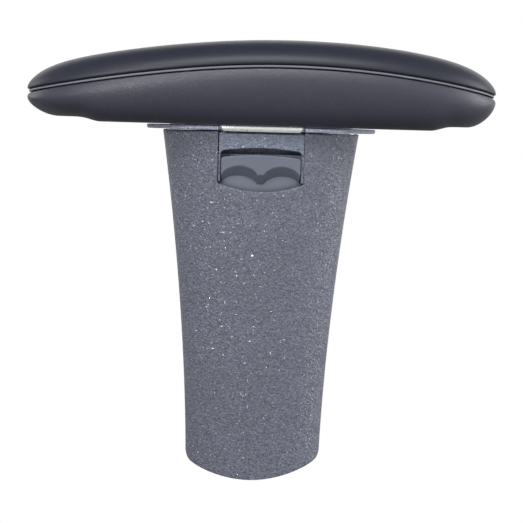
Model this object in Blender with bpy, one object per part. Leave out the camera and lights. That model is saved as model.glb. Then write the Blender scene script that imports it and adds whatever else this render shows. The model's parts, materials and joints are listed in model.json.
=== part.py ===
"""Height-adjustable office chair armrest: a padded top on a sleeve that slides on a notched steel stem.

Frame: +X along the pad, -Y towards the release lever, +Z up.
The origin is the centre of the stem's foot face.
Depths are measured down from the pad's underside, which sits PAD_BASE_Z above the foot.
"""

import math

import bmesh
import bpy
from mathutils import Matrix, Vector

# Driving dimensions, in metres.
GAP = 0.0003  # air between two pieces that touch
PAD_BASE_Z = 0.1800
HEIGHT_TRAVEL = 0.070
NOTCH_PITCH = 0.010

PAD_HALF_LENGTH = 0.1238
PAD_HALF_WIDTH = 0.046
PAD_PLAN_POWER = 2.8
SEAM_TOP = 0.0301  # the seam's highest point above the pad's underside
SEAM_TOP_X = 0.013
SEAM_REAR_RADIUS = 0.510
SEAM_FRONT_RADIUS = 0.430
FRONT_DROOP_LENGTH = 0.090
UPPER_THICKNESS = 0.0134
CROWN_SLOPE = 0.002  # how much thicker the cushion is for each metre towards +X
CROWN_POWER = 0.62  # 0.5 would make its edge upright, and 1 would make it slope
GROOVE_HALF = 0.00105
BEAD_HALF = 0.0005
BEAD_INSET = 0.0009
CORE_THICKNESS = 0.0050
LOWER_WALL = 0.0030
RIM_INSET = 0.0011  # how far the lower shell's rim stands inside its widest line
WIDEST_AT_SIDE = 0.0065  # how far the widest line is below the seam
WIDEST_AT_END = 0.0027
SIDE_TUCK = 0.0140  # how far the hull curves in below its widest line
FRONT_TUCK = 0.0166
REAR_TUCK = 0.0145
END_STEP = 0.0022  # how much higher the underside is beyond the central plateau
PLATEAU_X = 0.002
STEP_START = 0.085
STEP_END = 0.097

COLLAR_HALF_LENGTH = 0.0605
COLLAR_HALF_DEPTH = 0.0310
COLLAR_THICKNESS = 0.0026
PLATE_HALF_LENGTH = 0.0490
PLATE_HALF_DEPTH = 0.0235
PLATE_THICKNESS = 0.0027
TAB_HALF_WIDTH = 0.0210
TAB_FRONT_Y = -0.0305
TAB_CHAMFER = 0.0013

SLEEVE_TOP = 0.0032  # depth of the sleeve's rim
SLEEVE_HEM = 0.1880  # depth of the hem's lowest point
SLEEVE_POWER = 2.7
SLEEVE_FOOT_HALF_WIDTH = 0.0362
SLEEVE_FOOT_HALF_DEPTH = 0.0210
SLEEVE_FLARE_WIDTH = 0.0164
SLEEVE_FLARE_DEPTH = 0.0080
SLEEVE_FLARE_POWER = 1.70
SLEEVE_WALL = 0.0025
HEM_RISE = 0.0098
HEM_CORNER_RISE = 0.0030
HEM_SLOPE = 0.030  # how much the hem rises for each metre towards +X

RECESS_HALF_WIDTH = 0.0224
LEVER_HALF_WIDTH = 0.0207
PANEL_TOP = 0.0041
ARCH_MIDDLE = 0.0114
ARCH_SIDE = 0.0133
LEG_DEPTH = 0.0290  # how far down the housing's legs reach beside the lever
LEVER_TOP_MIDDLE = 0.0150
LEVER_TOP_SIDE = 0.0167
SMILE_MIDDLE = 0.0340
SMILE_SIDE = 0.0300
LEVER_BOTTOM = 0.0385
LEVER_PLATE_HALF_WIDTH = 0.0240
SCOOP_CENTRE_X = 0.0109
SCOOP_HALF_WIDTH = 0.0089
SCOOP_FOOT = 0.0247  # depth of the scoops' ends on the lever's face
SCOOP_RISE = 0.0040
SCOOP_SLOPE = 1.13  # how far the scoop's roof falls for each metre it goes in
FLOOR_Y = -0.0220
LEVER_BACK_Y = -0.0196

STEM_HALF_WIDTH = 0.0210
STEM_HALF_DEPTH = 0.0040
STEM_TOP = 0.0050
NOTCH_HALF_WIDTH = 0.0070
NOTCH_HEIGHT = 0.0050
NOTCH_DEPTH = 0.0030
BOLT_RADIUS = 0.0043
BOLT_HEIGHTS = (0.0130, 0.0380)  # above the foot
TUBE_HALF_WIDTH = 0.0250
TUBE_HALF_DEPTH = 0.0080
TUBE_WALL = 0.0020
SHOE_THICKNESS = 0.0014
SHOE_LENGTH = 0.0160
BUSH_LENGTH = 0.0197
TOOTH_DEPTH = 0.0845  # how far below the pad's underside the pawl's tooth stands

PIVOT_Y = -0.0115
PIVOT_DEPTH = 0.0705
STRIP_HALF_WIDTH = 0.0045
STRIP_THICKNESS = 0.0015
SPRING_X = 0.0180
SPRING_Y = -0.0160
SPRING_RADIUS = 0.0021
SPRING_WIRE = 0.00035
SPRING_TURNS = 6

PAD_SCREW_X = 0.0380
PAD_SCREW_Y = 0.0120
PAD_SCREW_RADIUS = 0.0030
SLEEVE_SCREW_DEPTHS = (0.0280, 0.0620)
HOUSING_SCREW_X = (-0.0140, 0.0140)
HOUSING_SCREW_Y = -0.0175
RIVET_DEPTHS = (0.0305, 0.0355)
BRACKET_RIVET_X = 0.0142
BRACKET_RIVET_RISE = 0.0070
SHOE_PIN_X = 0.0145
SHOE_PIN_DEPTH = 0.0125

PAD_SIDES = 56
SLEEVE_SIDES = 48
ROUND_SIDES = 20


def z_at(depth):
    """Height of a point this far below the pad's underside."""
    return PAD_BASE_Z - depth


# Materials and objects.


def material(name, colour, roughness, metallic=0.0):
    made = bpy.data.materials.new(name)
    made.use_nodes = True
    shader = made.node_tree.nodes["Principled BSDF"]
    shader.inputs["Base Color"].default_value = (*colour, 1.0)
    shader.inputs["Roughness"].default_value = roughness
    shader.inputs["Metallic"].default_value = metallic
    return made


def add(name, mesh_maker, finish):
    """A new object whose mesh is what mesh_maker draws into a bmesh."""
    mesh = bpy.data.meshes.new(name)
    bm = bmesh.new()
    mesh_maker(bm)
    bmesh.ops.recalc_face_normals(bm, faces=bm.faces)
    bm.to_mesh(mesh)
    bm.free()
    mesh.materials.append(finish)
    mesh.shade_smooth()
    mesh.set_sharp_from_angle(angle=math.radians(35))
    made = bpy.data.objects.new(name, mesh)
    bpy.context.scene.collection.objects.link(made)
    return made


def tool(name, mesh_maker):
    """A shape that only cuts or joins, and isn't part of the object."""
    made = add(name, mesh_maker, bpy.data.materials["steel"])
    made.hide_render = True
    made.display_type = "WIRE"
    return made


def combine(target, operation, *others):
    for other in others:
        modifier = target.modifiers.new(operation.lower(), "BOOLEAN")
        modifier.operation = operation
        modifier.solver = "EXACT"
        modifier.object = other
    return target


def cut(target, name, mesh_maker):
    return combine(target, "DIFFERENCE", tool(f"cutter_{name}", mesh_maker))


def join(target, name, mesh_maker):
    return combine(target, "UNION", tool(f"joined_{name}", mesh_maker))


def carrier(name, location, parent=None):
    """An empty on a joint's axis, which carries one moving body."""
    made = bpy.data.objects.new(name, None)
    made.location = Vector(location) - (parent.location if parent else Vector())
    made.parent = parent
    bpy.context.scene.collection.objects.link(made)
    return made


def carry(empty, *objects):
    """Moves the objects' origins to the empty and parents them to it."""
    bpy.context.view_layer.update()
    place = empty.matrix_world.translation
    for obj in objects:
        obj.data.transform(Matrix.Translation(-place))
        obj.parent = empty


# Shapes drawn into a bmesh.


def block(x, y, z):
    """A box between three pairs of limits."""

    def draw(bm):
        size = Vector((x[1] - x[0], y[1] - y[0], z[1] - z[0]))
        middle = Vector((x[0] + x[1], y[0] + y[1], z[0] + z[1])) / 2
        bmesh.ops.create_cube(bm, size=1, matrix=Matrix.Translation(middle) @ Matrix.Diagonal((*size, 1)))

    return draw


def rod(axis, centre, radius, start, end, sides=ROUND_SIDES):
    """A cylinder along X, Y or Z, from start to end. The centre gives its other two coordinates."""

    def draw(bm):
        index = "XYZ".index(axis)
        middle = list(centre)
        middle.insert(index, (start + end) / 2)
        turn = {
            "X": Matrix.Rotation(math.pi / 2, 4, "Y"),
            "Y": Matrix.Rotation(math.pi / 2, 4, "X"),
            "Z": Matrix.Identity(4),
        }[axis]
        bmesh.ops.create_cone(
            bm,
            cap_ends=True,
            segments=sides,
            radius1=radius,
            radius2=radius,
            depth=abs(end - start),
            matrix=Matrix.Translation(middle) @ turn,
        )

    return draw


def together(*makers):
    def draw(bm):
        for maker in makers:
            maker(bm)

    return draw


def prism(outline, low, high, axis="Y", slope=0.0):
    """A flat outline drawn out along an axis. An outline for Y holds (x, z), and one for Z holds (x, y).
    With a slope, the far end of a Y prism is that much lower for each metre of its length."""

    def place(point, along):
        if axis == "Y":
            return Vector((point[0], along, point[1] - slope * (along - low)))
        return Vector((point[0], point[1], along))

    def draw(bm):
        near = [bm.verts.new(place(p, low)) for p in outline]
        far = [bm.verts.new(place(p, high)) for p in outline]
        bm.faces.new(near)
        bm.faces.new(reversed(far))
        count = len(outline)
        for i in range(count):
            bm.faces.new((near[i], far[i], far[(i + 1) % count], near[(i + 1) % count]))

    return draw


def loft(rings, closed=False):
    """Faces between rings of points. A ring of one point is a pole.

    A closed loft joins its last ring to its first.
    """

    def draw(bm):
        made = [[bm.verts.new(p) for p in ring] for ring in rings]
        pairs = list(zip(made, made[1:]))
        if closed:
            pairs.append((made[-1], made[0]))
        for a, b in pairs:
            count = max(len(a), len(b))
            for i in range(count):
                j = (i + 1) % count
                if len(a) == 1:
                    bm.faces.new((a[0], b[i], b[j]))
                elif len(b) == 1:
                    bm.faces.new((a[i], b[0], a[j]))
                else:
                    bm.faces.new((a[i], b[i], b[j], a[j]))

    return draw


def turned(axis, centre, profile, sides=12):
    """A solid of revolution about X, Y or Z. The profile holds (radius, place along the axis) pairs."""
    index = "XYZ".index(axis)

    def point(radius, along, angle):
        place = [centre[0] + radius * math.cos(angle), centre[1] + radius * math.sin(angle)]
        place.insert(index, along)
        return tuple(place)

    rings = []
    for radius, along in profile:
        angles = turns(sides) if radius else [0.0]
        rings.append([point(radius, along, angle) for angle in angles])
    return loft(rings, closed=bool(profile[0][0]))


def superellipse(angle, half_x, half_y, power):
    c, s = math.cos(angle), math.sin(angle)
    return (
        half_x * math.copysign(abs(c) ** (2 / power), c),
        half_y * math.copysign(abs(s) ** (2 / power), s),
    )


def turns(count):
    return [2 * math.pi * i / count for i in range(count)]


def smoothstep(low, high, value):
    t = min(1.0, max(0.0, (value - low) / (high - low)))
    return t * t * (3 - 2 * t)


def rounded_rectangle(half_x, half_y, radius, steps=4):
    points = []
    for quadrant in range(4):
        sign_x = 1 if quadrant in (0, 3) else -1
        sign_y = 1 if quadrant in (0, 1) else -1
        for step in range(steps + 1):
            angle = math.pi / 2 * (quadrant + step / steps)
            points.append(
                (
                    sign_x * (half_x - radius) + radius * math.cos(angle),
                    sign_y * (half_y - radius) + radius * math.sin(angle),
                )
            )
    return points


def bow(half_width, side, middle, steps=8):
    """Points (x, height) of a shallow curve with the given depths at the recess's side and middle."""
    points = []
    for i in range(steps + 1):
        x = half_width * (2 * i / steps - 1)
        share = (x / RECESS_HALF_WIDTH) ** 2
        points.append((x, z_at(middle + (side - middle) * share)))
    return points


# The pad.


def seam_z(x):
    """Height of the groove's middle: an arch that flattens towards the front end, at -X."""
    away = x - SEAM_TOP_X
    if away > 0:
        drop = away**2 / (2 * SEAM_REAR_RADIUS)
    else:
        reach = FRONT_DROOP_LENGTH
        drop = reach**2 / SEAM_FRONT_RADIUS * (math.sqrt(1 + (away / reach) ** 2) - 1)
    return PAD_BASE_Z + SEAM_TOP - drop


def pad_ring(height, inset=0.0, share=1.0):
    """A ring of the pad's outline, inset or shrunk to a share, at the height that a function of x gives."""
    points = []
    for angle in turns(PAD_SIDES):
        x, y = superellipse(angle, PAD_HALF_LENGTH - inset, PAD_HALF_WIDTH - inset, PAD_PLAN_POWER)
        x, y = x * share, y * share
        points.append((x, y, height(x)))
    return points


def pad_top_ring(share):
    """A ring of the pad's crowned top, which falls off later towards the ends than towards the sides."""
    points = []
    for angle in turns(PAD_SIDES):
        x, y = superellipse(angle, PAD_HALF_LENGTH, PAD_HALF_WIDTH, PAD_PLAN_POWER)
        power = 9.2 * math.cos(angle) ** 2 + 4.9 * math.sin(angle) ** 2
        x, y = x * share, y * share
        rise = (UPPER_THICKNESS + CROWN_SLOPE * x) * (1 - share**power) ** CROWN_POWER
        points.append((x, y, seam_z(x) + GROOVE_HALF + rise))
    return points


def underside_z(x):
    """Height of the underside, which steps up beyond the central plateau."""
    return PAD_BASE_Z + END_STEP * smoothstep(STEP_START, STEP_END, abs(x - PLATEAU_X))


def lower_ring(turn, inset_by=0.0, raise_by=0.0):
    """A ring of the lower shell's hull, from its widest line at turn 0 to its flat underside at turn 1."""
    points = []
    for angle in turns(PAD_SIDES):
        towards_end = math.cos(angle) ** 6
        end_tuck = REAR_TUCK if math.cos(angle) > 0 else FRONT_TUCK
        tuck = SIDE_TUCK + (end_tuck - SIDE_TUCK) * towards_end
        sharper = 1 - 0.15 * towards_end
        inset = inset_by + tuck * (1 - math.cos(turn * math.pi / 2)) ** sharper
        x, y = superellipse(angle, PAD_HALF_LENGTH - inset, PAD_HALF_WIDTH - inset, PAD_PLAN_POWER)
        widest = seam_z(x) - WIDEST_AT_SIDE - (WIDEST_AT_END - WIDEST_AT_SIDE) * towards_end
        z = widest - (widest - underside_z(x)) * math.sin(turn * math.pi / 2)
        points.append((x, y, z + raise_by * turn))
    return points


def pad_screw_places():
    return [(sx * PAD_SCREW_X, sy * PAD_SCREW_Y) for sx in (-1, 1) for sy in (-1, 1)]


def pad_disc(height):
    """Rings of a surface across the pad, from its middle out to the bead."""
    rings = [[(0, 0, height(0))]]
    rings += [pad_ring(height, share=s) for s in (0.25, 0.5, 0.7, 0.85)]
    rings.append(pad_ring(height, inset=BEAD_INSET + 0.0003))
    return rings


def make_upper_pad(finish):
    rings = pad_disc(lambda x: seam_z(x) + BEAD_HALF + GAP)
    rings.append(pad_ring(lambda x: seam_z(x) + GROOVE_HALF, inset=0.0008))
    rings += [pad_top_ring(s) for s in (1.0, 0.995, 0.98, 0.955, 0.92, 0.87, 0.79, 0.66, 0.45, 0.2)]
    rings.append([(0, 0, seam_z(0) + GROOVE_HALF + UPPER_THICKNESS)])
    return add("pad_upper_cushion", loft(rings), finish)


def make_core(finish):
    """The stiff board inside the pad. Its thin rim shows as a bead in the groove."""
    core_low = 0.0085  # how far inside the outline the board is full thickness
    rings = [[(0, 0, seam_z(0) - CORE_THICKNESS)]]
    rings += [pad_ring(lambda x: seam_z(x) - CORE_THICKNESS, share=s) for s in (0.25, 0.5, 0.7)]
    rings.append(pad_ring(lambda x: seam_z(x) - CORE_THICKNESS, inset=core_low))
    rings.append(pad_ring(lambda x: seam_z(x) - BEAD_HALF, inset=core_low - 0.0015))
    rings.append(pad_ring(lambda x: seam_z(x) - BEAD_HALF, inset=BEAD_INSET + 0.0003))
    rings.append(pad_ring(seam_z, inset=BEAD_INSET))
    rings += reversed(pad_disc(lambda x: seam_z(x) + BEAD_HALF))
    core = add("pad_core_board", loft(rings), finish)
    for i, (x, y) in enumerate(pad_screw_places()):
        cut(core, f"insert_seat_{i}", rod("Z", (x, y), 0.0053, seam_z(x) - 0.010, seam_z(x) + 0.004))
    return core


def make_lower_shell(finish):
    def rim(x):
        return seam_z(x) - GROOVE_HALF

    rings = [pad_ring(rim, inset=RIM_INSET + 0.0020), pad_ring(rim, inset=RIM_INSET)]
    rings.append(pad_ring(lambda x: seam_z(x) - 0.0023, inset=RIM_INSET * 0.4))
    rings += [lower_ring(t) for t in (0.0, 0.25, 0.45, 0.62, 0.78, 0.9, 1.0)]
    rings += [pad_ring(underside_z, share=s) for s in (0.62, 0.3)]
    rings.append([(0, 0, underside_z(0))])
    rings.append([(0, 0, underside_z(0) + LOWER_WALL)])
    rings += [pad_ring(lambda x: underside_z(x) + LOWER_WALL, share=s) for s in (0.3, 0.58)]
    rings += [lower_ring(t, inset_by=LOWER_WALL, raise_by=LOWER_WALL) for t in (1.0, 0.7, 0.35, 0.0)]

    def draw(bm):
        outer, inner = rings[:13], rings[13:]
        loft(outer)(bm)
        loft(inner)(bm)
        loft([rings[0], rings[-1]])(bm)
        bmesh.ops.remove_doubles(bm, verts=bm.verts, dist=1e-6)

    shell = add("pad_lower_shell", draw, finish)
    for i, (x, y) in enumerate(pad_screw_places()):
        top = seam_z(x) - 0.0071
        join(shell, f"boss_{i}", rod("Z", (x, y), 0.0065, PAD_BASE_Z + 0.001, top))
        bore = rod("Z", (x, y), PAD_SCREW_RADIUS + 0.0004, PAD_BASE_Z - 0.01, top + 0.01)
        cut(shell, f"boss_hole_{i}", bore)
    return shell


def make_inserts(finish):
    """Flanged threaded inserts pressed into the core board."""
    made = []
    for number, (x, y) in enumerate(pad_screw_places(), 1):
        low, high = seam_z(x) - 0.0066, seam_z(x) - 0.0008
        bore, body, flange = PAD_SCREW_RADIUS + GAP, 0.0049, 0.0062
        step = low + 0.0008
        profile = [(bore, low), (flange, low), (flange, step), (body, step), (body, high), (bore, high)]
        made.append(add(f"threaded_insert_{number}", turned("Z", (x, y), profile, ROUND_SIDES), finish))
    return made


def make_pad_screws(finish):
    """Pan-head screws that come up through the mounting plate and the lower shell into the inserts."""
    under = z_at(GAP + PLATE_THICKNESS + GAP)
    made = []
    for number, (x, y) in enumerate(pad_screw_places(), 1):
        tip = seam_z(x) - 0.0015
        profile = [
            (0.0, under - 0.0030),
            (0.0042, under - 0.0030),
            (0.0052, under - 0.0020),
            (0.0052, under),
            (PAD_SCREW_RADIUS, under),
            (PAD_SCREW_RADIUS, tip - 0.0005),
            (0.0, tip),
        ]
        made.append(add(f"pad_screw_{number}", turned("Z", (x, y), profile, 16), finish))
    return made


# The mounting plate and the collar round it.


def make_plate(finish):
    top, bottom = z_at(GAP), z_at(GAP + PLATE_THICKNESS)
    plate = add(
        "mounting_plate",
        prism(rounded_rectangle(PLATE_HALF_LENGTH, PLATE_HALF_DEPTH, 0.006), bottom, top, axis="Z"),
        finish,
    )
    half, chamfer = TAB_HALF_WIDTH, TAB_CHAMFER
    tab = [(-half, top), (half, top), (half - chamfer, bottom), (-half + chamfer, bottom)]
    join(plate, "tab", prism(tab, TAB_FRONT_Y, -0.018))
    for i, (x, y) in enumerate(pad_screw_places()):
        hole = rod("Z", (x, y), PAD_SCREW_RADIUS + 0.0004, bottom - 0.01, top + 0.01)
        cut(plate, f"plate_hole_{i}", hole)
    for i, x in enumerate(HOUSING_SCREW_X):
        cut(plate, f"countersink_{i}", rod("Z", (x, HOUSING_SCREW_Y), 0.0031, z_at(0.0021), top + 0.01, 16))
        cut(plate, f"clearance_{i}", rod("Z", (x, HOUSING_SCREW_Y), 0.0018, bottom - 0.01, top + 0.01, 12))
    return plate


def make_collar(finish):
    top, bottom = z_at(GAP), z_at(GAP + COLLAR_THICKNESS)
    outline = [superellipse(a, COLLAR_HALF_LENGTH, COLLAR_HALF_DEPTH, 3.4) for a in turns(SLEEVE_SIDES)]
    collar = add("collar_plate", prism(outline, bottom, top, axis="Z"), finish)
    room = 0.0004
    opening = rounded_rectangle(PLATE_HALF_LENGTH + room, PLATE_HALF_DEPTH + room, 0.006 + room)
    cut(collar, "collar_opening", prism(opening, bottom - 0.01, top + 0.01, axis="Z"))
    half = RECESS_HALF_WIDTH
    cut(collar, "collar_notch", block((-half, half), (-0.04, -0.018), (bottom - 0.01, top + 0.01)))
    return collar


# The sleeve.


def sleeve_flare(depth):
    return max(0.0, 1 - depth / SLEEVE_HEM) ** SLEEVE_FLARE_POWER


def hem_depth(x):
    share = min(1.0, abs(x) / SLEEVE_FOOT_HALF_WIDTH)
    curve = HEM_RISE * share**1.85 + HEM_CORNER_RISE * share**40
    return SLEEVE_HEM - curve - HEM_SLOPE * x


def sleeve_ring(share, inset=0.0, top=SLEEVE_TOP, bottom=None):
    """A ring of the sleeve's surface, part of the way from its top to its hem or to a flat bottom."""
    points = []
    for angle in turns(SLEEVE_SIDES):
        foot_x, _ = superellipse(angle, SLEEVE_FOOT_HALF_WIDTH - inset, 1, SLEEVE_POWER)
        low = hem_depth(foot_x) if bottom is None else bottom
        depth = top + (low - top) * share
        half_x = SLEEVE_FOOT_HALF_WIDTH + SLEEVE_FLARE_WIDTH * sleeve_flare(depth) - inset
        half_y = SLEEVE_FOOT_HALF_DEPTH + SLEEVE_FLARE_DEPTH * sleeve_flare(depth) - inset
        x, y = superellipse(angle, half_x, half_y, SLEEVE_POWER)
        points.append((x, y, z_at(depth)))
    return points


def sleeve_solid(inset, top, bottom, steps=6):
    """The space inside the sleeve's surface at an inset, between two flat ends."""

    def draw(bm):
        rings = [sleeve_ring(i / steps, inset, top, bottom) for i in range(steps + 1)]
        loft(rings)(bm)
        bmesh.ops.holes_fill(bm, edges=[e for e in bm.edges if e.is_boundary])

    return draw


def recess_outline(half_width, top_depth, bottom_side, bottom_middle):
    """The recess in the sleeve's face: straight sides, open above, and a bottom that curves down."""
    points = bow(half_width, bottom_side, bottom_middle)
    return [(-half_width, z_at(top_depth)), *points, (half_width, z_at(top_depth))]


def back_wall_y(depth):
    return SLEEVE_FOOT_HALF_DEPTH + SLEEVE_FLARE_DEPTH * sleeve_flare(depth)


def make_sleeve(finish):
    shares = [i / 8 for i in range(9)]
    outer = [sleeve_ring(s) for s in shares]
    inner = [sleeve_ring(s, inset=SLEEVE_WALL) for s in reversed(shares)]
    sleeve = add("sleeve", loft(outer + inner, closed=True), finish)
    recess = recess_outline(RECESS_HALF_WIDTH, -0.01, SMILE_SIDE, SMILE_MIDDLE)
    cut(sleeve, "recess", prism(recess, -0.040, -0.012))
    for i, depth in enumerate(SLEEVE_SCREW_DEPTHS):
        place = (0, z_at(depth))
        end = TUBE_HALF_DEPTH + GAP
        wall = back_wall_y(depth)
        join(sleeve, f"sleeve_boss_{i}", rod("Y", place, 0.0062, end, wall - 0.0008))
        cut(sleeve, f"counterbore_{i}", rod("Y", place, 0.0042, 0.0162, wall + 0.01))
        cut(sleeve, f"screw_hole_{i}", rod("Y", place, 0.0023, end - 0.01, wall + 0.01, 16))
    return sleeve


def make_sleeve_screws(finish):
    made = []
    for number, depth in enumerate(SLEEVE_SCREW_DEPTHS, 1):
        profile = [
            (0.0, 0.0189),
            (0.0030, 0.0189),
            (0.0038, 0.0182),
            (0.0038, 0.0165),
            (0.0020, 0.0165),
            (0.0020, 0.0066),
            (0.0, 0.0063),
        ]
        made.append(add(f"sleeve_screw_{number}", turned("Y", (0, z_at(depth)), profile, 16), finish))
    return made


# The release lever and what guides it.


def make_housing(finish):
    """The panel above the lever, with the frame behind it that the lever and its springs work in."""
    half, foot = RECESS_HALF_WIDTH - GAP, z_at(LEG_DEPTH)
    inner = LEVER_HALF_WIDTH + GAP
    arch = bow(inner, ARCH_SIDE, ARCH_MIDDLE)
    outline = [(-half, z_at(PANEL_TOP)), (-half, foot), (-inner, foot), *arch]
    outline += [(inner, foot), (half, foot), (half, z_at(PANEL_TOP))]
    housing = add("lever_housing", prism(outline, -0.040, -0.0258), finish)
    combine(housing, "INTERSECT", tool("limit_housing", sleeve_solid(0.0, 0.001, 0.06)))
    high = z_at(0.0034)
    join(housing, "housing_top", block((-half, half), (-0.0272, -0.0110), (z_at(0.0090), high)))
    back_half = 0.0238
    low = z_at(0.0177)
    join(housing, "housing_back", block((-back_half, back_half), (-0.0130, -0.0110), (low, high)))
    join(housing, "housing_shelf", block((-back_half, back_half), (-0.0193, -0.0115), (low, z_at(0.0147))))
    for i, x in enumerate(HOUSING_SCREW_X):
        hole = rod("Z", (x, HOUSING_SCREW_Y), 0.0018, z_at(0.0088), z_at(0.0), 12)
        cut(housing, f"housing_hole_{i}", hole)
    return housing


def make_housing_screws(finish):
    """Pan-head screws through the mounting plate, sunk below its top so that the pad lies flat on it."""
    made = []
    for number, x in enumerate(HOUSING_SCREW_X, 1):
        head, step, end = z_at(0.0006), z_at(0.0018), z_at(0.0085)
        profile = [
            (0.0, head),
            (0.0028, head),
            (0.0028, step),
            (0.0015, step),
            (0.0015, end + 0.0003),
            (0.0, end),
        ]
        made.append(add(f"housing_screw_{number}", turned("Z", (x, HOUSING_SCREW_Y), profile), finish))
    return made


def scoop_outline():
    """The two finger arches along the lever's lower edge, closed well below it."""
    side, low = 0.030, z_at(0.070)
    points = [(-side, z_at(SCOOP_FOOT))]
    for centre in (-SCOOP_CENTRE_X, SCOOP_CENTRE_X):
        for i in range(11):
            t = math.pi * (1 - i / 10)
            points.append(
                (centre + SCOOP_HALF_WIDTH * math.cos(t), z_at(SCOOP_FOOT - SCOOP_RISE * math.sin(t)))
            )
    return points + [(side, z_at(SCOOP_FOOT)), (side, low), (-side, low)]


def make_lever(finish):
    half = LEVER_HALF_WIDTH
    top = bow(half, LEVER_TOP_SIDE, LEVER_TOP_MIDDLE)
    outline = [*top, (half, z_at(LEVER_BOTTOM)), (-half, z_at(LEVER_BOTTOM))]
    lever = add("release_lever", prism(outline, -0.040, LEVER_BACK_Y), finish)
    combine(lever, "INTERSECT", tool("limit_lever", sleeve_solid(GAP, 0.001, 0.06)))
    shift = 0.0030 * SCOOP_SLOPE  # the roof's height at the cutter's near end, ahead of the lever's face
    raised = [(x, z + shift) for x, z in scoop_outline()]
    cut(lever, "scoops", prism(raised, -0.0302, FLOOR_Y, slope=SCOOP_SLOPE))
    wide, overlap = LEVER_PLATE_HALF_WIDTH, 0.00002
    across = (FLOOR_Y - overlap, LEVER_BACK_Y - overlap)
    join(lever, "lever_plate", block((-wide, wide), across, (z_at(LEVER_BOTTOM), z_at(0.0190))))
    across = (LEVER_BACK_Y - 0.001, -0.0132)
    for x in (-SPRING_X, SPRING_X):
        lug = block((x - 0.003, x + 0.003), across, (z_at(0.0340), z_at(0.0303)))
        join(lever, f"spring_lug_{x > 0}", lug)
    for i, depth in enumerate(RIVET_DEPTHS):
        seat = rod("Y", (0, z_at(depth)), 0.0014, LEVER_BACK_Y - 0.0015, LEVER_BACK_Y + 0.01, 12)
        cut(lever, f"rivet_seat_{i}", seat)
    return lever


def spring_maker(x):
    """A coil spring that stands on a lug of the lever and presses up against the housing's shelf."""
    low, high = z_at(0.0300), z_at(0.0180)
    radius, wire = SPRING_RADIUS, SPRING_WIRE
    steps = 10 * SPRING_TURNS

    def draw(bm):
        rings = []
        rise = (high - low - 2 * wire) / steps
        for i in range(steps + 1):
            a = 2 * math.pi * i / 10
            across, along = radius * math.cos(a), radius * math.sin(a)
            centre = Vector((x + across, SPRING_Y + along, low + wire + rise * i))
            out = Vector((math.cos(a), math.sin(a), 0))
            rings.append(
                [centre + wire * (out * math.cos(b) + Vector((0, 0, math.sin(b)))) for b in turns(6)]
            )
        loft(rings)(bm)
        bmesh.ops.holes_fill(bm, edges=[e for e in bm.edges if e.is_boundary])

    return draw


def make_pull_strip(finish):
    """The flat strip that links the lever to the pawl. The pawl's finger stands in its window."""
    y0 = LEVER_BACK_Y + GAP
    y1 = y0 + STRIP_THICKNESS
    half = STRIP_HALF_WIDTH
    strip = add("pull_strip", block((-half, half), (y0, y1), (z_at(0.0750), z_at(0.0280))), finish)
    window = 0.00195
    middle = z_at(PIVOT_DEPTH)
    room = (middle - window, middle + window)
    cut(strip, "strip_window", block((-0.0029, 0.0029), (y0 - 0.01, y1 + 0.01), room))
    for i, depth in enumerate(RIVET_DEPTHS):
        cut(strip, f"strip_hole_{i}", rod("Y", (0, z_at(depth)), 0.0014, y0 - 0.01, y1 + 0.01, 12))
    return strip


def make_strip_rivets(finish):
    head = LEVER_BACK_Y + GAP + STRIP_THICKNESS + GAP
    root = LEVER_BACK_Y - 0.0012
    made = []
    for number, depth in enumerate(RIVET_DEPTHS, 1):
        profile = [
            (0.0, head + 0.0009),
            (0.0018, head + 0.0006),
            (0.0020, head),
            (0.0011, head),
            (0.0011, root),
            (0.0, root),
        ]
        made.append(add(f"strip_rivet_{number}", turned("Y", (0, z_at(depth)), profile), finish))
    return made


# The pawl and its bracket.


def make_pawl(finish):
    """A bell crank: the strip lifts its finger, and its tooth swings away from the stem."""
    axis_z = z_at(PIVOT_DEPTH)
    tooth_z = z_at(TOOTH_DEPTH)
    tip_y = -STEM_HALF_DEPTH - 0.0004
    arm = [
        (PIVOT_Y - 0.0022, axis_z),
        (PIVOT_Y - 0.0022, tooth_z - 0.0020),
        (tip_y, tooth_z - 0.0020),
        (tip_y, tooth_z + 0.0014),
        (PIVOT_Y + 0.0022, tooth_z + 0.0022),
        (PIVOT_Y + 0.0022, axis_z),
    ]

    def draw(bm):
        left = [bm.verts.new((-0.0058, y, z)) for y, z in arm]
        right = [bm.verts.new((0.0058, y, z)) for y, z in arm]
        bm.faces.new(left)
        bm.faces.new(reversed(right))
        for i in range(len(arm)):
            j = (i + 1) % len(arm)
            bm.faces.new((left[i], right[i], right[j], left[j]))

    pawl = add("lock_pawl", draw, finish)
    join(pawl, "pawl_hub", rod("X", (PIVOT_Y, axis_z), 0.0030, -0.0062, 0.0062))
    finger_tip = LEVER_BACK_Y + GAP - 0.0009
    across = (axis_z - 0.0012, axis_z + 0.0012)
    join(pawl, "pawl_finger", block((-0.0025, 0.0025), (finger_tip, PIVOT_Y), across))
    return cut(pawl, "pawl_bore", rod("X", (PIVOT_Y, axis_z), 0.0018, -0.02, 0.02, 16))


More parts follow.
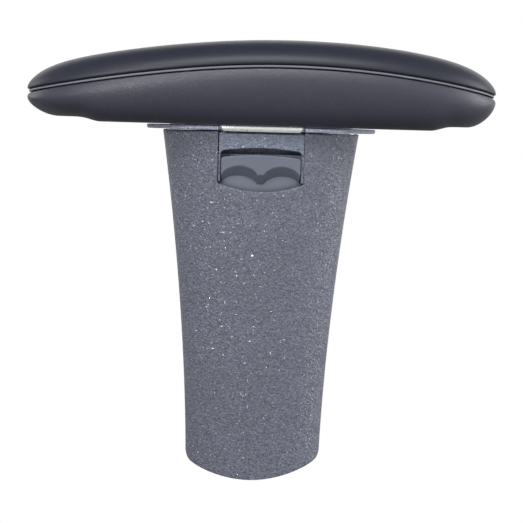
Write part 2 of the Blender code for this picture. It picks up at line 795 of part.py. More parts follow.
def make_bracket(finish):
    """A pressed steel bracket on the tube's front, with two ears for the pawl's pin."""
    axis_z = z_at(PIVOT_DEPTH)
    base = -TUBE_HALF_DEPTH - GAP
    body = block((-0.0085, 0.0085), (-0.0158, base), (axis_z - 0.0045, axis_z + 0.0105))
    bracket = add("pawl_bracket", body, finish)
    feet = block((-0.0180, 0.0180), (base - 0.0015, base - 0.00001), (axis_z + 0.0036, axis_z + 0.0104))
    join(bracket, "bracket_feet", feet)
    cut(bracket, "bracket_throat", block((-0.0067, 0.0067), (-0.03, 0.0), (axis_z - 0.02, axis_z + 0.0085)))
    cut(bracket, "bracket_pin_hole", rod("X", (PIVOT_Y, axis_z), 0.0018, -0.03, 0.03, 16))
    for side in (-1, 1):
        place = (side * BRACKET_RIVET_X, axis_z + BRACKET_RIVET_RISE)
        cut(bracket, f"bracket_rivet_hole_{side + 1}", rod("Y", place, 0.0014, -0.02, 0.0, 12))
    return bracket


def make_bracket_rivets(finish):
    head = -TUBE_HALF_DEPTH - 2 * GAP - 0.0015
    root = -TUBE_HALF_DEPTH + TUBE_WALL - 0.0002
    made = []
    for number, x in enumerate((-BRACKET_RIVET_X, BRACKET_RIVET_X), 1):
        place = (x, z_at(PIVOT_DEPTH) + BRACKET_RIVET_RISE)
        profile = [
            (0.0, head - 0.0012),
            (0.0018, head - 0.0008),
            (0.0024, head),
            (0.0011, head),
            (0.0011, root),
            (0.0, root),
        ]
        made.append(add(f"bracket_rivet_{number}", turned("Y", place, profile), finish))
    return made


def make_pivot_pin(finish):
    axis_z = z_at(PIVOT_DEPTH)
    pin = add("pawl_pivot_pin", rod("X", (PIVOT_Y, axis_z), 0.0015, -0.0095, 0.0112, 16), finish)
    join(pin, "pin_head", rod("X", (PIVOT_Y, axis_z), 0.0028, -0.0100, -0.0088, 16))
    return cut(
        pin,
        "pin_groove",
        together(
            block((0.0093, 0.0102), (PIVOT_Y - 0.003, PIVOT_Y - 0.0011), (axis_z - 0.003, axis_z + 0.003)),
            block((0.0093, 0.0102), (PIVOT_Y + 0.0011, PIVOT_Y + 0.003), (axis_z - 0.003, axis_z + 0.003)),
        ),
    )


def make_pin_clip(finish):
    """The open clip that keeps the pivot pin in: its jaws stand in the pin's groove."""
    axis_z = z_at(PIVOT_DEPTH)
    clip = add("pivot_pin_clip", rod("X", (PIVOT_Y, axis_z), 0.0031, 0.0095, 0.0100, 16), finish)
    slot = block((0.0, 0.02), (PIVOT_Y - 0.00085, PIVOT_Y + 0.00085), (axis_z - 0.01, axis_z + 0.0019))
    cutters = (tool("cutter_clip_slot", slot), tool("cutter_clip_room", clip_room(axis_z)))
    return combine(clip, "DIFFERENCE", *cutters)


def clip_room(axis_z):
    return rod("X", (PIVOT_Y, axis_z), 0.0019, 0.0, 0.02, 16)


# The stem and the tube that slides on it.


def make_stem(finish):
    outside = ((-STEM_HALF_WIDTH, STEM_HALF_WIDTH), (-STEM_HALF_DEPTH, STEM_HALF_DEPTH))
    stem = add("stem", block(*outside, (0.0, z_at(STEM_TOP))), finish)
    for i in range(round(HEIGHT_TRAVEL / NOTCH_PITCH) + 1):
        middle = z_at(TOOTH_DEPTH) + i * NOTCH_PITCH
        notch = block(
            (-NOTCH_HALF_WIDTH, NOTCH_HALF_WIDTH),
            (-STEM_HALF_DEPTH - 0.002, -STEM_HALF_DEPTH + NOTCH_DEPTH),
            (middle - NOTCH_HEIGHT / 2, middle + NOTCH_HEIGHT / 2),
        )
        cut(stem, f"notch_{i}", notch)
    for i, height in enumerate(BOLT_HEIGHTS):
        cut(stem, f"bolt_hole_{i}", rod("Y", (0, height), BOLT_RADIUS, -0.02, 0.02, 24))
    for side in (-1, 1):
        place = (side * SHOE_PIN_X, z_at(SHOE_PIN_DEPTH))
        cut(stem, f"stem_pin_hole_{side + 1}", rod("Y", place, 0.0016, -0.02, 0.02, 12))
    return stem


def make_shoe(finish):
    """The plastic shoe over the stem's top. It guides the tube and meets the bush when the arm is up."""
    wide = STEM_HALF_WIDTH + GAP + SHOE_THICKNESS
    deep = STEM_HALF_DEPTH + GAP + SHOE_THICKNESS
    cap = z_at(STEM_TOP) + GAP + SHOE_THICKNESS
    low = cap - SHOE_LENGTH
    shoe = add("upper_glide_shoe", block((-wide, wide), (-STEM_HALF_DEPTH, deep), (low, cap)), finish)
    room = STEM_HALF_WIDTH + GAP
    across = (-0.02, STEM_HALF_DEPTH + GAP)
    cut(shoe, "shoe_room", block((-room, room), across, (low - 0.01, cap - SHOE_THICKNESS)))
    for side in (-1, 1):
        place = (side * SHOE_PIN_X, z_at(SHOE_PIN_DEPTH))
        cut(shoe, f"shoe_pin_room_{side + 1}", rod("Y", place, 0.0016, 0.0, 0.02, 12))
    return shoe


def make_shoe_pins(finish):
    start = -STEM_HALF_DEPTH + 0.0004
    end = STEM_HALF_DEPTH + GAP + SHOE_THICKNESS - 0.0001
    places = [(side * SHOE_PIN_X, z_at(SHOE_PIN_DEPTH)) for side in (-1, 1)]
    made = []
    for number, place in enumerate(places, 1):
        made.append(add(f"shoe_pin_{number}", rod("Y", place, 0.0012, start, end, 12), finish))
    return made


def tube_bottom():
    """Depth of the tube's lower end: the bush just reaches the shoe after the full travel."""
    shoe_low = STEM_TOP - GAP - SHOE_THICKNESS + SHOE_LENGTH
    return shoe_low + HEIGHT_TRAVEL + GAP + BUSH_LENGTH


def make_tube(finish):
    low = z_at(tube_bottom())
    high = z_at(GAP + PLATE_THICKNESS + GAP)
    outside = ((-TUBE_HALF_WIDTH, TUBE_HALF_WIDTH), (-TUBE_HALF_DEPTH, TUBE_HALF_DEPTH))
    tube = add("guide_tube", block(*outside, (low, high)), finish)
    room_x, room_y = TUBE_HALF_WIDTH - TUBE_WALL, TUBE_HALF_DEPTH - TUBE_WALL
    cut(tube, "tube_inside", block((-room_x, room_x), (-room_y, room_y), (low - 0.01, high + 0.01)))
    tooth = z_at(TOOTH_DEPTH)
    cut(tube, "tube_window", block((-0.0080, 0.0080), (-0.02, 0.0), (tooth - 0.0050, tooth + 0.0085)))
    for i, depth in enumerate(SLEEVE_SCREW_DEPTHS):
        cut(tube, f"tube_screw_hole_{i}", rod("Y", (0, z_at(depth)), 0.0023, 0.0, 0.02, 16))
    for side in (-1, 1):
        place = (side * BRACKET_RIVET_X, z_at(PIVOT_DEPTH) + BRACKET_RIVET_RISE)
        cut(tube, f"tube_rivet_hole_{side + 1}", rod("Y", place, 0.0014, -0.02, 0.0, 12))
    return tube


def make_bush(finish):
    """The plastic bush in the tube's lower end, with a flange that stops it against the end."""
    low = z_at(tube_bottom())
    wide, deep = TUBE_HALF_WIDTH - TUBE_WALL - GAP, TUBE_HALF_DEPTH - TUBE_WALL - GAP
    body = block((-wide, wide), (-deep, deep), (low - 0.0020, low + BUSH_LENGTH))
    bush = add("lower_guide_bush", body, finish)
    outside = ((-TUBE_HALF_WIDTH, TUBE_HALF_WIDTH), (-TUBE_HALF_DEPTH, TUBE_HALF_DEPTH))
    join(bush, "bush_flange", block(*outside, (low - 0.0023, low - GAP)))
    room_x, room_y = STEM_HALF_WIDTH + GAP, STEM_HALF_DEPTH + GAP
    return cut(bush, "bush_room", block((-room_x, room_x), (-room_y, room_y), (low - 0.02, low + 0.04)))


def main():
    for obj in list(bpy.data.objects):
        bpy.data.objects.remove(obj, do_unlink=True)

    steel = material("steel", (0.55, 0.56, 0.58), 0.35, 1.0)
    zinc = material("zinc_plated_steel", (0.75, 0.78, 0.80), 0.28, 1.0)
    nylon = material("natural_nylon", (0.62, 0.60, 0.55), 0.5)
    core_grey = material("core_polypropylene", (0.10, 0.10, 0.12), 0.5)
    cushion = material("cushion_polyurethane", (0.045, 0.045, 0.062), 0.55)
    shell_grey = material("lower_shell_plastic", (0.055, 0.055, 0.072), 0.5)
    sleeve_grey = material("sleeve_plastic", (0.155, 0.165, 0.205), 0.6)
    lever_grey = material("lever_plastic", (0.16, 0.175, 0.215), 0.45)
    spring_steel = material("spring_steel", (0.45, 0.45, 0.47), 0.3, 1.0)

    arm = carrier("arm_height_slide", (0, 0, PAD_BASE_Z))
    lever = carrier("lever_slide", (0, LEVER_BACK_Y, z_at(LEVER_TOP_MIDDLE)), arm)
    pawl = carrier("pawl_pivot", (0, PIVOT_Y, z_at(PIVOT_DEPTH)), arm)

    make_stem(zinc)
    make_shoe(nylon)
    make_shoe_pins(steel)
    carry(
        arm,
        make_upper_pad(cushion),
        make_core(core_grey),
        make_lower_shell(shell_grey),
        *make_inserts(zinc),
        *make_pad_screws(zinc),
        make_plate(zinc),
        make_collar(sleeve_grey),
        make_sleeve(sleeve_grey),
        *make_sleeve_screws(steel),
        make_housing(sleeve_grey),
        *make_housing_screws(steel),
        make_tube(steel),
        make_bush(nylon),
        make_bracket(zinc),
        *make_bracket_rivets(steel),
        make_pivot_pin(steel),
        make_pin_clip(spring_steel),
        add("lever_spring_front", spring_maker(-SPRING_X), spring_steel),
        add("lever_spring_rear", spring_maker(SPRING_X), spring_steel),
    )
    carry(lever, make_lever(lever_grey), make_pull_strip(zinc), *make_strip_rivets(steel))
    carry(pawl, make_pawl(steel))


main()
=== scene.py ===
"""The looks of the height-adjustable armrest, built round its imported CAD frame.

Lengths are in metres, in the CAD's frame: +X along the pad, -Y towards the lever, +Z up the stem.
Depths are measured down from the pad's underside.
"""

import json
import math

import bmesh
import bpy
import numpy as np
from mathutils import Matrix, Vector


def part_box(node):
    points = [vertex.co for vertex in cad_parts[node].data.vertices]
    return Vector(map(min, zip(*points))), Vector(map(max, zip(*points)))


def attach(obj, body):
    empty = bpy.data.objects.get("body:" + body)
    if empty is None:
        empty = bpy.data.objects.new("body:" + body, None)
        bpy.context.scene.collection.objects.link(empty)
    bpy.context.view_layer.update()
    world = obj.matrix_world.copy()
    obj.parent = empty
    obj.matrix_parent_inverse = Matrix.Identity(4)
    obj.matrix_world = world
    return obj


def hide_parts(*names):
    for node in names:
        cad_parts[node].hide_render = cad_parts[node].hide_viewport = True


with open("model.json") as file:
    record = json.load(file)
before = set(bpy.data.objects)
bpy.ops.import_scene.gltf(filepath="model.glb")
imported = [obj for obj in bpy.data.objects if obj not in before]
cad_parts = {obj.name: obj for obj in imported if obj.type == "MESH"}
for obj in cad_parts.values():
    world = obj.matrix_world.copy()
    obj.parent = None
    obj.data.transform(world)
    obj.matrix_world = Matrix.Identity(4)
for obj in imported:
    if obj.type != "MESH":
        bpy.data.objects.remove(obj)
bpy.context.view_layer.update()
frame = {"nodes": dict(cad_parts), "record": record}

# Places that the CAD gives.
PAD_BASE_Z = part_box("pad_lower_shell")[0][2]
PAD_HALF_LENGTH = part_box("pad_lower_shell")[1][0]
PAD_HALF_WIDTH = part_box("pad_lower_shell")[1][1]
SLEEVE_TOP = PAD_BASE_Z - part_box("sleeve")[1][2]
SLEEVE_HEM = 0.1880
PLATE_TOP = PAD_BASE_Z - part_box("mounting_plate")[1][2]
PLATE_BOTTOM = PAD_BASE_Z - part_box("mounting_plate")[0][2]
TAB_FRONT_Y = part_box("mounting_plate")[0][1]
COLLAR_BOTTOM = PAD_BASE_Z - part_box("collar_plate")[0][2]
LEVER_BOTTOM = PAD_BASE_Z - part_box("release_lever")[0][2]

# Shapes that the CAD draws too, coarser.
PAD_PLAN_POWER = 2.8
SEAM_TOP = 0.0301
SEAM_TOP_X = 0.013
SEAM_REAR_RADIUS = 0.510
SEAM_FRONT_RADIUS = 0.430
FRONT_DROOP_LENGTH = 0.090
UPPER_THICKNESS = 0.0134
CROWN_SLOPE = 0.002
CROWN_POWER = 0.62
GROOVE_HALF = 0.00105
BEAD_LOW = -0.00045
BEAD_HIGH = 0.00075
BEAD_INSET = 0.0009
CORE_THICKNESS = 0.0050
LOWER_WALL = 0.0030
RIM_INSET = 0.0011
WIDEST_AT_SIDE = 0.0065
WIDEST_AT_END = 0.0027
SIDE_TUCK = 0.0140
FRONT_TUCK = 0.0166
REAR_TUCK = 0.0145
END_STEP = 0.0022
PLATEAU_X = 0.002
STEP_START = 0.085
STEP_END = 0.097

SLEEVE_POWER = 2.7
SLEEVE_FOOT_HALF_WIDTH = 0.0362
SLEEVE_FOOT_HALF_DEPTH = 0.0210
SLEEVE_FLARE_WIDTH = 0.0164
SLEEVE_FLARE_DEPTH = 0.0080
SLEEVE_FLARE_POWER = 1.70
SLEEVE_WALL = 0.0025
HEM_RISE = 0.0098
HEM_CORNER_RISE = 0.0030
HEM_SLOPE = 0.030

COLLAR_HALF_LENGTH = 0.0605
COLLAR_HALF_DEPTH = 0.0310
PLATE_HALF_LENGTH = 0.0490
PLATE_HALF_DEPTH = 0.0235
TAB_HALF_WIDTH = 0.0210
TAB_CHAMFER = 0.0013

RECESS_HALF_WIDTH = 0.0224
LEVER_HALF_WIDTH = 0.0207
PANEL_TOP = 0.0041
ARCH_MIDDLE = 0.0114
ARCH_SIDE = 0.0133
LEG_DEPTH = 0.0290
LEVER_TOP_MIDDLE = 0.0150
LEVER_TOP_SIDE = 0.0167
SMILE_MIDDLE = 0.0340
SMILE_SIDE = 0.0300
SCOOP_CENTRE_X = 0.0109
SCOOP_HALF_WIDTH = 0.0092
SCOOP_FOOT = 0.0247
SCOOP_RISE = 0.0045
SCOOP_SLOPE = 1.13
FLOOR_Y = -0.0220
LEVER_BACK_Y = -0.0196

# Details that only the looks have.
CROWN_LAST = math.radians(72)  # the cushion's rings rise by even turns as far as this one
CUSHION_LIP = 0.0009  # height of the cushion's rounded lower edge
SLEEVE_SCREW_DEPTHS = (0.0280, 0.0620)
SCREW_BOSS = (0.0062, 0.0083)  # radius, and its front end's Y
SCREW_SINK = (0.0042, 0.0162)
SCREW_HOLE = (0.0023, 0.0050)
PAD_SCREW_HOLE = 0.0034
HOUSING_SCREW_HOLE = 0.0018
HOUSING_SCREW_SINK = 0.0031
HOUSING_SINK_DEPTH = 0.0021
ARCH_CORNER = 0.0019
LEVER_CORNER = 0.0014
PANEL_LEFT = -0.0219
PANEL_RIGHT = 0.0222
HOUSING_BACK_Y = -0.0240
PAST = 0.01  # how far a cutter reaches past what it cuts


def z_at(depth):
    return PAD_BASE_Z - depth


# Materials.


class Shader:
    """A Principled material and short names for the nodes that feed it."""

    def __init__(self, name, roughness=0.5, metallic=0.0, specular=0.5):
        self.material = bpy.data.materials.new(name)
        self.material.use_nodes = True
        self.nodes = self.material.node_tree.nodes
        self.links = self.material.node_tree.links
        self.shader = self.nodes["Principled BSDF"]
        self.shader.inputs["Roughness"].default_value = roughness
        self.shader.inputs["Metallic"].default_value = metallic
        self.shader.inputs["Specular IOR Level"].default_value = specular
        self.place = self.nodes.new("ShaderNodeTexCoord").outputs["Object"]

    def feed(self, socket, value):
        if isinstance(value, (int, float)):
            socket.default_value = value
        elif isinstance(value, tuple):
            socket.default_value = value if len(value) == 4 or socket.type == "VECTOR" else (*value, 1.0)
        else:
            self.links.new(value, socket)

    def stretched(self, scale):
        node = self.nodes.new("ShaderNodeMapping")
        node.inputs["Scale"].default_value = scale
        self.feed(node.inputs["Vector"], self.place)
        return node.outputs["Vector"]

    def noise(self, scale, detail=2.0, roughness=0.5, vector=None, distortion=0.0):
        node = self.nodes.new("ShaderNodeTexNoise")
        node.inputs["Scale"].default_value = scale
        node.inputs["Detail"].default_value = detail
        node.inputs["Roughness"].default_value = roughness
        node.inputs["Distortion"].default_value = distortion
        self.feed(node.inputs["Vector"], vector or self.place)
        return node.outputs["Fac"]

    def cells(self, scale, feature="F1", output="Distance", randomness=1.0):
        node = self.nodes.new("ShaderNodeTexVoronoi")
        node.feature = feature
        node.inputs["Scale"].default_value = scale
        node.inputs["Randomness"].default_value = randomness
        self.feed(node.inputs["Vector"], self.place)
        return node.outputs[output]

    def spread(self, value, low, high, to_low=0.0, to_high=1.0):
        node = self.nodes.new("ShaderNodeMapRange")
        limits = {"From Min": low, "From Max": high, "To Min": to_low, "To Max": to_high}
        for name, number in limits.items():
            node.inputs[name].default_value = number
        self.feed(node.inputs["Value"], value)
        return node.outputs["Result"]

    def math(self, operation, first, second):
        node = self.nodes.new("ShaderNodeMath")
        node.operation = operation
        self.feed(node.inputs[0], first)
        self.feed(node.inputs[1], second)
        return node.outputs[0]

    def mix(self, share, first, second):
        node = self.nodes.new("ShaderNodeMix")
        node.data_type = "RGBA"
        self.feed(node.inputs["Factor"], share)
        self.feed(node.inputs["A"], first)
        self.feed(node.inputs["B"], second)
        return node.outputs["Result"]

    def first_channel(self, colour):
        node = self.nodes.new("ShaderNodeSeparateColor")
        self.feed(node.inputs["Color"], colour)
        return node.outputs["Red"]

    def edges(self, low=0.52, high=0.60):
        """1 along outer edges and 0 elsewhere: the mask for lighter edges, partly wear and partly
        painted highlight.
        """
        node = self.nodes.new("ShaderNodeNewGeometry")
        return self.spread(node.outputs["Pointiness"], low, high)

    def bump(self, height, distance, strength=1.0, onto=None):
        node = self.nodes.new("ShaderNodeBump")
        node.inputs["Distance"].default_value = distance
        node.inputs["Strength"].default_value = strength
        self.feed(node.inputs["Height"], height)
        if onto:
            self.feed(node.inputs["Normal"], onto)
        return node.outputs["Normal"]

    def shade_in_hollows(self, distance):
        """0 deep in gaps and hollows, and 1 out in the open: the mask for painted shade."""
        node = self.nodes.new("ShaderNodeAmbientOcclusion")
        node.samples = 8
        node.inputs["Distance"].default_value = distance
        return node.outputs["AO"]

    def vector(self, operation, first, second, scale=1.0):
        node = self.nodes.new("ShaderNodeVectorMath")
        node.operation = operation
        self.feed(node.inputs[0], first)
        if second is not None:
            self.feed(node.inputs[1], second)
        if operation == "SCALE":
            node.inputs["Scale"].default_value = scale
        return node.outputs["Vector"]

    def facets(self, colour, tilt):
        """Flat facets, one to a cell, each tilted its own way."""
        surface = self.nodes.new("ShaderNodeNewGeometry").outputs["Normal"]
        lean = self.vector("SCALE", self.vector("SUBTRACT", colour, (0.5, 0.5, 0.5)), None, tilt)
        return self.vector("NORMALIZE", self.vector("ADD", surface, lean), None)

    def finish(self, colour, roughness=None, normal=None):
        self.feed(self.shader.inputs["Base Color"], colour)
        if roughness is not None:
            self.feed(self.shader.inputs["Roughness"], roughness)
        if normal is not None:
            self.feed(self.shader.inputs["Normal"], normal)
        return self.material


def tinted(colour, by):
    return tuple(channel * by for channel in colour)


def textured_plastic(name, colour, depth=1.0, shade=0.40):
    """Spark-eroded moulded plastic: dense shallow pits and facets that glint under a light, with painted
    glint specks, lighter edges that are partly wear and partly painted highlight, and painted shade in
    gaps and hollows.
    """
    s = Shader(name, specular=0.6)
    coarse = s.noise(760, detail=2.0, roughness=0.6)
    fine = s.noise(1500, detail=2.0, roughness=0.6)
    pebbles = s.cells(900)
    random = s.first_channel(s.cells(900, output="Color"))
    flakes = s.cells(1500, output="Color")
    shining = s.spread(s.noise(1500, detail=1.0), 0.50, 0.55)
    patches = s.noise(26, detail=2.0)
    base = s.mix(s.spread(patches, 0.3, 0.7), tinted(colour, 0.95), tinted(colour, 1.05))
    base = s.mix(s.spread(coarse, 0.38, 0.60), tinted(colour, 0.68), base)
    # Painted glint specks: a few cells painted up to 2.4 times lighter.
    base = s.mix(s.spread(random, 0.93, 1.0, 0.0, 0.12), base, tinted(colour, 2.4))
    # Lighter outer edges: partly wear, partly a painted highlight.
    base = s.mix(s.math("MULTIPLY", s.edges(), 0.45), base, tinted(colour, 2.2))
    # Painted shade: gaps and hollows darkened towards the shade share of the colour.
    base = s.mix(s.spread(s.shade_in_hollows(0.003), 0.25, 0.85), tinted(colour, shade), base)
    rough = s.spread(random, 0.55, 1.0, 0.52, 0.36)
    rough = s.math("ADD", rough, s.spread(fine, 0.3, 0.7, -0.04, 0.05))
    rough = s.math("SUBTRACT", rough, s.math("MULTIPLY", shining, 0.24))
    normal = s.bump(s.spread(pebbles, 0.0, 0.9), 0.00036 * depth, 0.9)
    normal = s.bump(coarse, 0.00038 * depth, 0.9, onto=normal)
    normal = s.bump(fine, 0.00015 * depth, 0.6, onto=normal)
    normal = s.mix(shining, normal, s.facets(flakes, 0.8))
    return s.finish(base, rough, normal)


def cushion_skin(name, colour):
    """The satin skin of moulded foam: nearly smooth, with a faint leather grain and light scuffs."""
    s = Shader(name, specular=0.36)
    pores = s.noise(1900, detail=2.0, roughness=0.5)
    creases = s.cells(720, feature="DISTANCE_TO_EDGE")
    clouds = s.noise(18, detail=3.0)
    scuffs = s.noise(60, detail=6.0, roughness=0.75, vector=s.stretched((0.35, 1.0, 3.5)))
    base = s.mix(s.spread(clouds, 0.3, 0.7), tinted(colour, 0.92), tinted(colour, 1.08))
    base = s.mix(s.spread(pores, 0.35, 0.75, 0.0, 0.18), base, tinted(colour, 1.6))
    base = s.mix(s.spread(scuffs, 0.66, 0.80, 0.0, 0.35), base, tinted(colour, 2.6))
    rough = s.math("ADD", s.spread(clouds, 0.3, 0.7, 0.40, 0.46), s.spread(pores, 0.3, 0.7, -0.03, 0.04))
    normal = s.bump(s.spread(creases, 0.0, 0.12), 0.00003, 0.25)
    normal = s.bump(pores, 0.00006, 0.35, onto=normal)
    return s.finish(base, rough, normal)


def grained_plastic(name, colour):
    """The lower shell: moulded with a fine leather grain."""
    s = Shader(name, specular=0.55)
    grain = s.noise(1250, detail=3.0, roughness=0.6)
    creases = s.cells(950, feature="DISTANCE_TO_EDGE")
    random = s.first_channel(s.cells(950, output="Color"))
    clouds = s.noise(20, detail=3.0)
    base = s.mix(s.spread(clouds, 0.3, 0.7), tinted(colour, 0.93), tinted(colour, 1.07))
    base = s.mix(s.spread(grain, 0.3, 0.7), s.mix(0.5, base, tinted(colour, 0.7)), base)
    # Lighter outer edges: partly wear, partly a painted highlight.
    base = s.mix(s.math("MULTIPLY", s.edges(), 0.25), base, tinted(colour, 2.0))
    rough = s.spread(random, 0.0, 1.0, 0.34, 0.44)
    rough = s.math("ADD", rough, s.spread(clouds, 0.3, 0.7, -0.02, 0.03))
    normal = s.bump(s.spread(creases, 0.0, 0.15), 0.00007, 0.45)
    normal = s.bump(grain, 0.00012, 0.45, onto=normal)
    return s.finish(base, rough, normal)


def satin_plastic(name, colour, roughness=0.42):
    """Smooth moulded plastic with a faint mottle, painted highlights along its edges and painted shade
    in its gaps and hollows.
    """
    s = Shader(name, specular=0.5)
    fine = s.noise(2200, detail=2.0)
    clouds = s.noise(45, detail=3.0)
    base = s.mix(s.spread(clouds, 0.3, 0.7), tinted(colour, 0.95), tinted(colour, 1.05))
    base = s.mix(s.spread(fine, 0.35, 0.7, 0.0, 0.25), base, tinted(colour, 1.25))
    # Lighter outer edges: mostly a painted highlight, with a little wear.
    base = s.mix(s.math("MULTIPLY", s.edges(), 0.6), base, tinted(colour, 2.6))
    # Painted shade: gaps and hollows darkened to about a fifth of the colour.
    base = s.mix(s.spread(s.shade_in_hollows(0.004), 0.35, 0.92), tinted(colour, 0.22), base)
    rough = s.spread(clouds, 0.3, 0.7, roughness, roughness + 0.05)
    rough = s.math("ADD", rough, s.spread(fine, 0.3, 0.7, -0.03, 0.03))
    normal = s.bump(fine, 0.00005, 0.3)
    return s.finish(base, rough, normal)


def plated_steel(name, colour, roughness=0.28, streak=(0.25, 4.0, 4.0)):
    """Zinc-plated or bare sheet steel, with rolling streaks and faint stains."""
    s = Shader(name, metallic=1.0)
    streaks = s.noise(420, detail=4.0, roughness=0.7, vector=s.stretched(streak))
    spangle = s.first_channel(s.cells(260, output="Color"))
    clouds = s.noise(70, detail=3.0)
    base = s.mix(s.spread(clouds, 0.3, 0.7), tinted(colour, 0.94), colour)
    base = s.mix(s.spread(streaks, 0.35, 0.75, 0.0, 0.45), base, tinted(colour, 0.82))
    base = s.mix(s.spread(spangle, 0.0, 1.0, 0.0, 0.18), base, tinted(colour, 1.15))
    rough = s.spread(streaks, 0.3, 0.7, roughness, roughness + 0.16)
    rough = s.math("ADD", rough, s.spread(spangle, 0.0, 1.0, -0.05, 0.06))
    normal = s.bump(streaks, 0.00004, 0.35)
    return s.finish(base, rough, normal)


def nylon(name, colour):
    """Waxy natural nylon, a little see-through."""
    s = Shader(name, specular=0.5)
    s.shader.inputs["Subsurface Weight"].default_value = 0.15
    s.shader.inputs["Subsurface Radius"].default_value = (0.003, 0.0025, 0.002)
    fine = s.noise(900, detail=3.0)
    clouds = s.noise(60, detail=3.0)
    base = s.mix(s.spread(clouds, 0.3, 0.7), tinted(colour, 0.93), tinted(colour, 1.04))
    rough = s.spread(fine, 0.3, 0.7, 0.42, 0.52)
    return s.finish(base, rough, s.bump(fine, 0.00005, 0.3))


SLEEVE_COLOUR = (0.138, 0.146, 0.193)
LEVER_COLOUR = (0.130, 0.143, 0.186)
# The panel is the sleeve's plastic painted about 1.5 times lighter and a little bluer: painted light
# that lifts it against the shade falling on it.
PANEL_LIFTED_COLOUR = (0.196, 0.224, 0.300)
CUSHION_COLOUR = (0.019, 0.021, 0.034)
SHELL_COLOUR = (0.040, 0.041, 0.062)
CORE_COLOUR = (0.180, 0.185, 0.220)

sleeve_finish = textured_plastic("sleeve_spark_eroded", SLEEVE_COLOUR)
# The collar is the sleeve's plastic painted 3.6 times lighter and without painted shade: partly a
# lighter moulding, and past that painted light against the shadow the pad casts on it.
collar_painted_light_finish = textured_plastic("collar_spark_eroded_painted_lighter", tinted(SLEEVE_COLOUR, 3.6), 0.5, 1.0)
panel_finish = textured_plastic("panel_spark_eroded", PANEL_LIFTED_COLOUR, 1.1)
lever_finish = satin_plastic("lever_satin", LEVER_COLOUR)
cushion_finish = cushion_skin("cushion_skin", CUSHION_COLOUR)
shell_finish = grained_plastic("lower_shell_grain", SHELL_COLOUR)
core_finish = satin_plastic("core_board_plastic", CORE_COLOUR, 0.45)
zinc_finish = plated_steel("zinc_plate", (0.97, 1.0, 1.0), 0.22)
steel_finish = plated_steel("bare_steel", (0.56, 0.57, 0.59), 0.32)
spring_finish = plated_steel("spring_steel", (0.42, 0.42, 0.44), 0.30, (1.0, 1.0, 1.0))
nylon_finish = nylon("natural_nylon", (0.60, 0.58, 0.52))


# Mesh building.


def object_from(name, points, faces, finish, sharp=38):
    mesh = bpy.data.meshes.new(name)
    mesh.from_pydata([tuple(p) for p in points], [], [tuple(f) for f in faces])
    mesh.materials.append(finish)
    bm = bmesh.new()
    bm.from_mesh(mesh)
    bmesh.ops.recalc_face_normals(bm, faces=bm.faces)
    bm.to_mesh(mesh)
    bm.free()
    mesh.shade_smooth()
    mesh.set_sharp_from_angle(angle=math.radians(sharp))
    made = bpy.data.objects.new(name, mesh)
    bpy.context.scene.collection.objects.link(made)
    return made


def loft(rings, closed=False):
    """Points and faces between rings of points. A ring of one point is a pole."""
    points, starts = [], []
    for ring in rings:
        starts.append(len(points))
        points.extend(ring)
    faces = []
    pairs = [(i, i + 1) for i in range(len(rings) - 1)]
    if closed:
        pairs.append((len(rings) - 1, 0))
    for a, b in pairs:
        count = max(len(rings[a]), len(rings[b]))
        for i in range(count):
            j = (i + 1) % count
            if len(rings[a]) == 1:
                faces.append((starts[a], starts[b] + i, starts[b] + j))
            elif len(rings[b]) == 1:
                faces.append((starts[a] + i, starts[b], starts[a] + j))
            else:
                faces.append((starts[a] + i, starts[b] + i, starts[b] + j, starts[a] + j))
    return points, faces


def merged(*parts):
    """One list of points and faces from several."""
    points, faces = [], []
    for more_points, more_faces in parts:
        start = len(points)
        points.extend(more_points)
        faces.extend(tuple(start + i for i in face) for face in more_faces)
    return points, faces


def block(x, y, z, edge=0.0004):
    """A box between three pairs of limits, with small chamfers along its edges."""
    bm = bmesh.new()
    size = Vector((x[1] - x[0], y[1] - y[0], z[1] - z[0]))
    middle = Vector((x[0] + x[1], y[0] + y[1], z[0] + z[1])) / 2
    bmesh.ops.create_cube(bm, size=1, matrix=Matrix.Translation(middle) @ Matrix.Diagonal((*size, 1)))
    bmesh.ops.bevel(bm, geom=bm.edges, offset=edge, segments=2, profile=0.5, affect="EDGES")
    bm.verts.index_update()
    points = [v.co.copy() for v in bm.verts]
    faces = [tuple(v.index for v in f.verts) for f in bm.faces]
    bm.free()
    return points, faces


def superellipse(angle, half_x, half_y, power):
    c, s = math.cos(angle), math.sin(angle)
    return (
        half_x * math.copysign(abs(c) ** (2 / power), c),
        half_y * math.copysign(abs(s) ** (2 / power), s),
    )


def even_angles(count, half_x, half_y, power):
    """Angles whose points are evenly spaced along the curve."""
    fine = np.linspace(0, 2 * math.pi, 20001)
    points = np.array([superellipse(a, half_x, half_y, power) for a in fine])
    run = np.concatenate([[0], np.cumsum(np.linalg.norm(np.diff(points, axis=0), axis=1))])
    return list(np.interp(np.arange(count) / count * run[-1], run, fine))


def smoothstep(low, high, value):
    t = min(1.0, max(0.0, (value - low) / (high - low)))
    return t * t * (3 - 2 * t)


def bow(x, side, middle):
    """Depth at x of a shallow curve that has these depths at the recess's side and middle."""
    return middle + (side - middle) * (x / RECESS_HALF_WIDTH) ** 2


def corner(x, half_width, radius):
    """How far a rounded corner has dropped at x, near the end of a width."""
    over = abs(x) - (half_width - radius)
    if over <= 0:
        return 0.0
    return radius - math.sqrt(max(0.0, radius**2 - over**2))


def tool(name, points, faces):
    """A solid that only serves a Boolean."""
    made = object_from(name, points, faces, steel_finish)
    made.hide_render = True
    return made


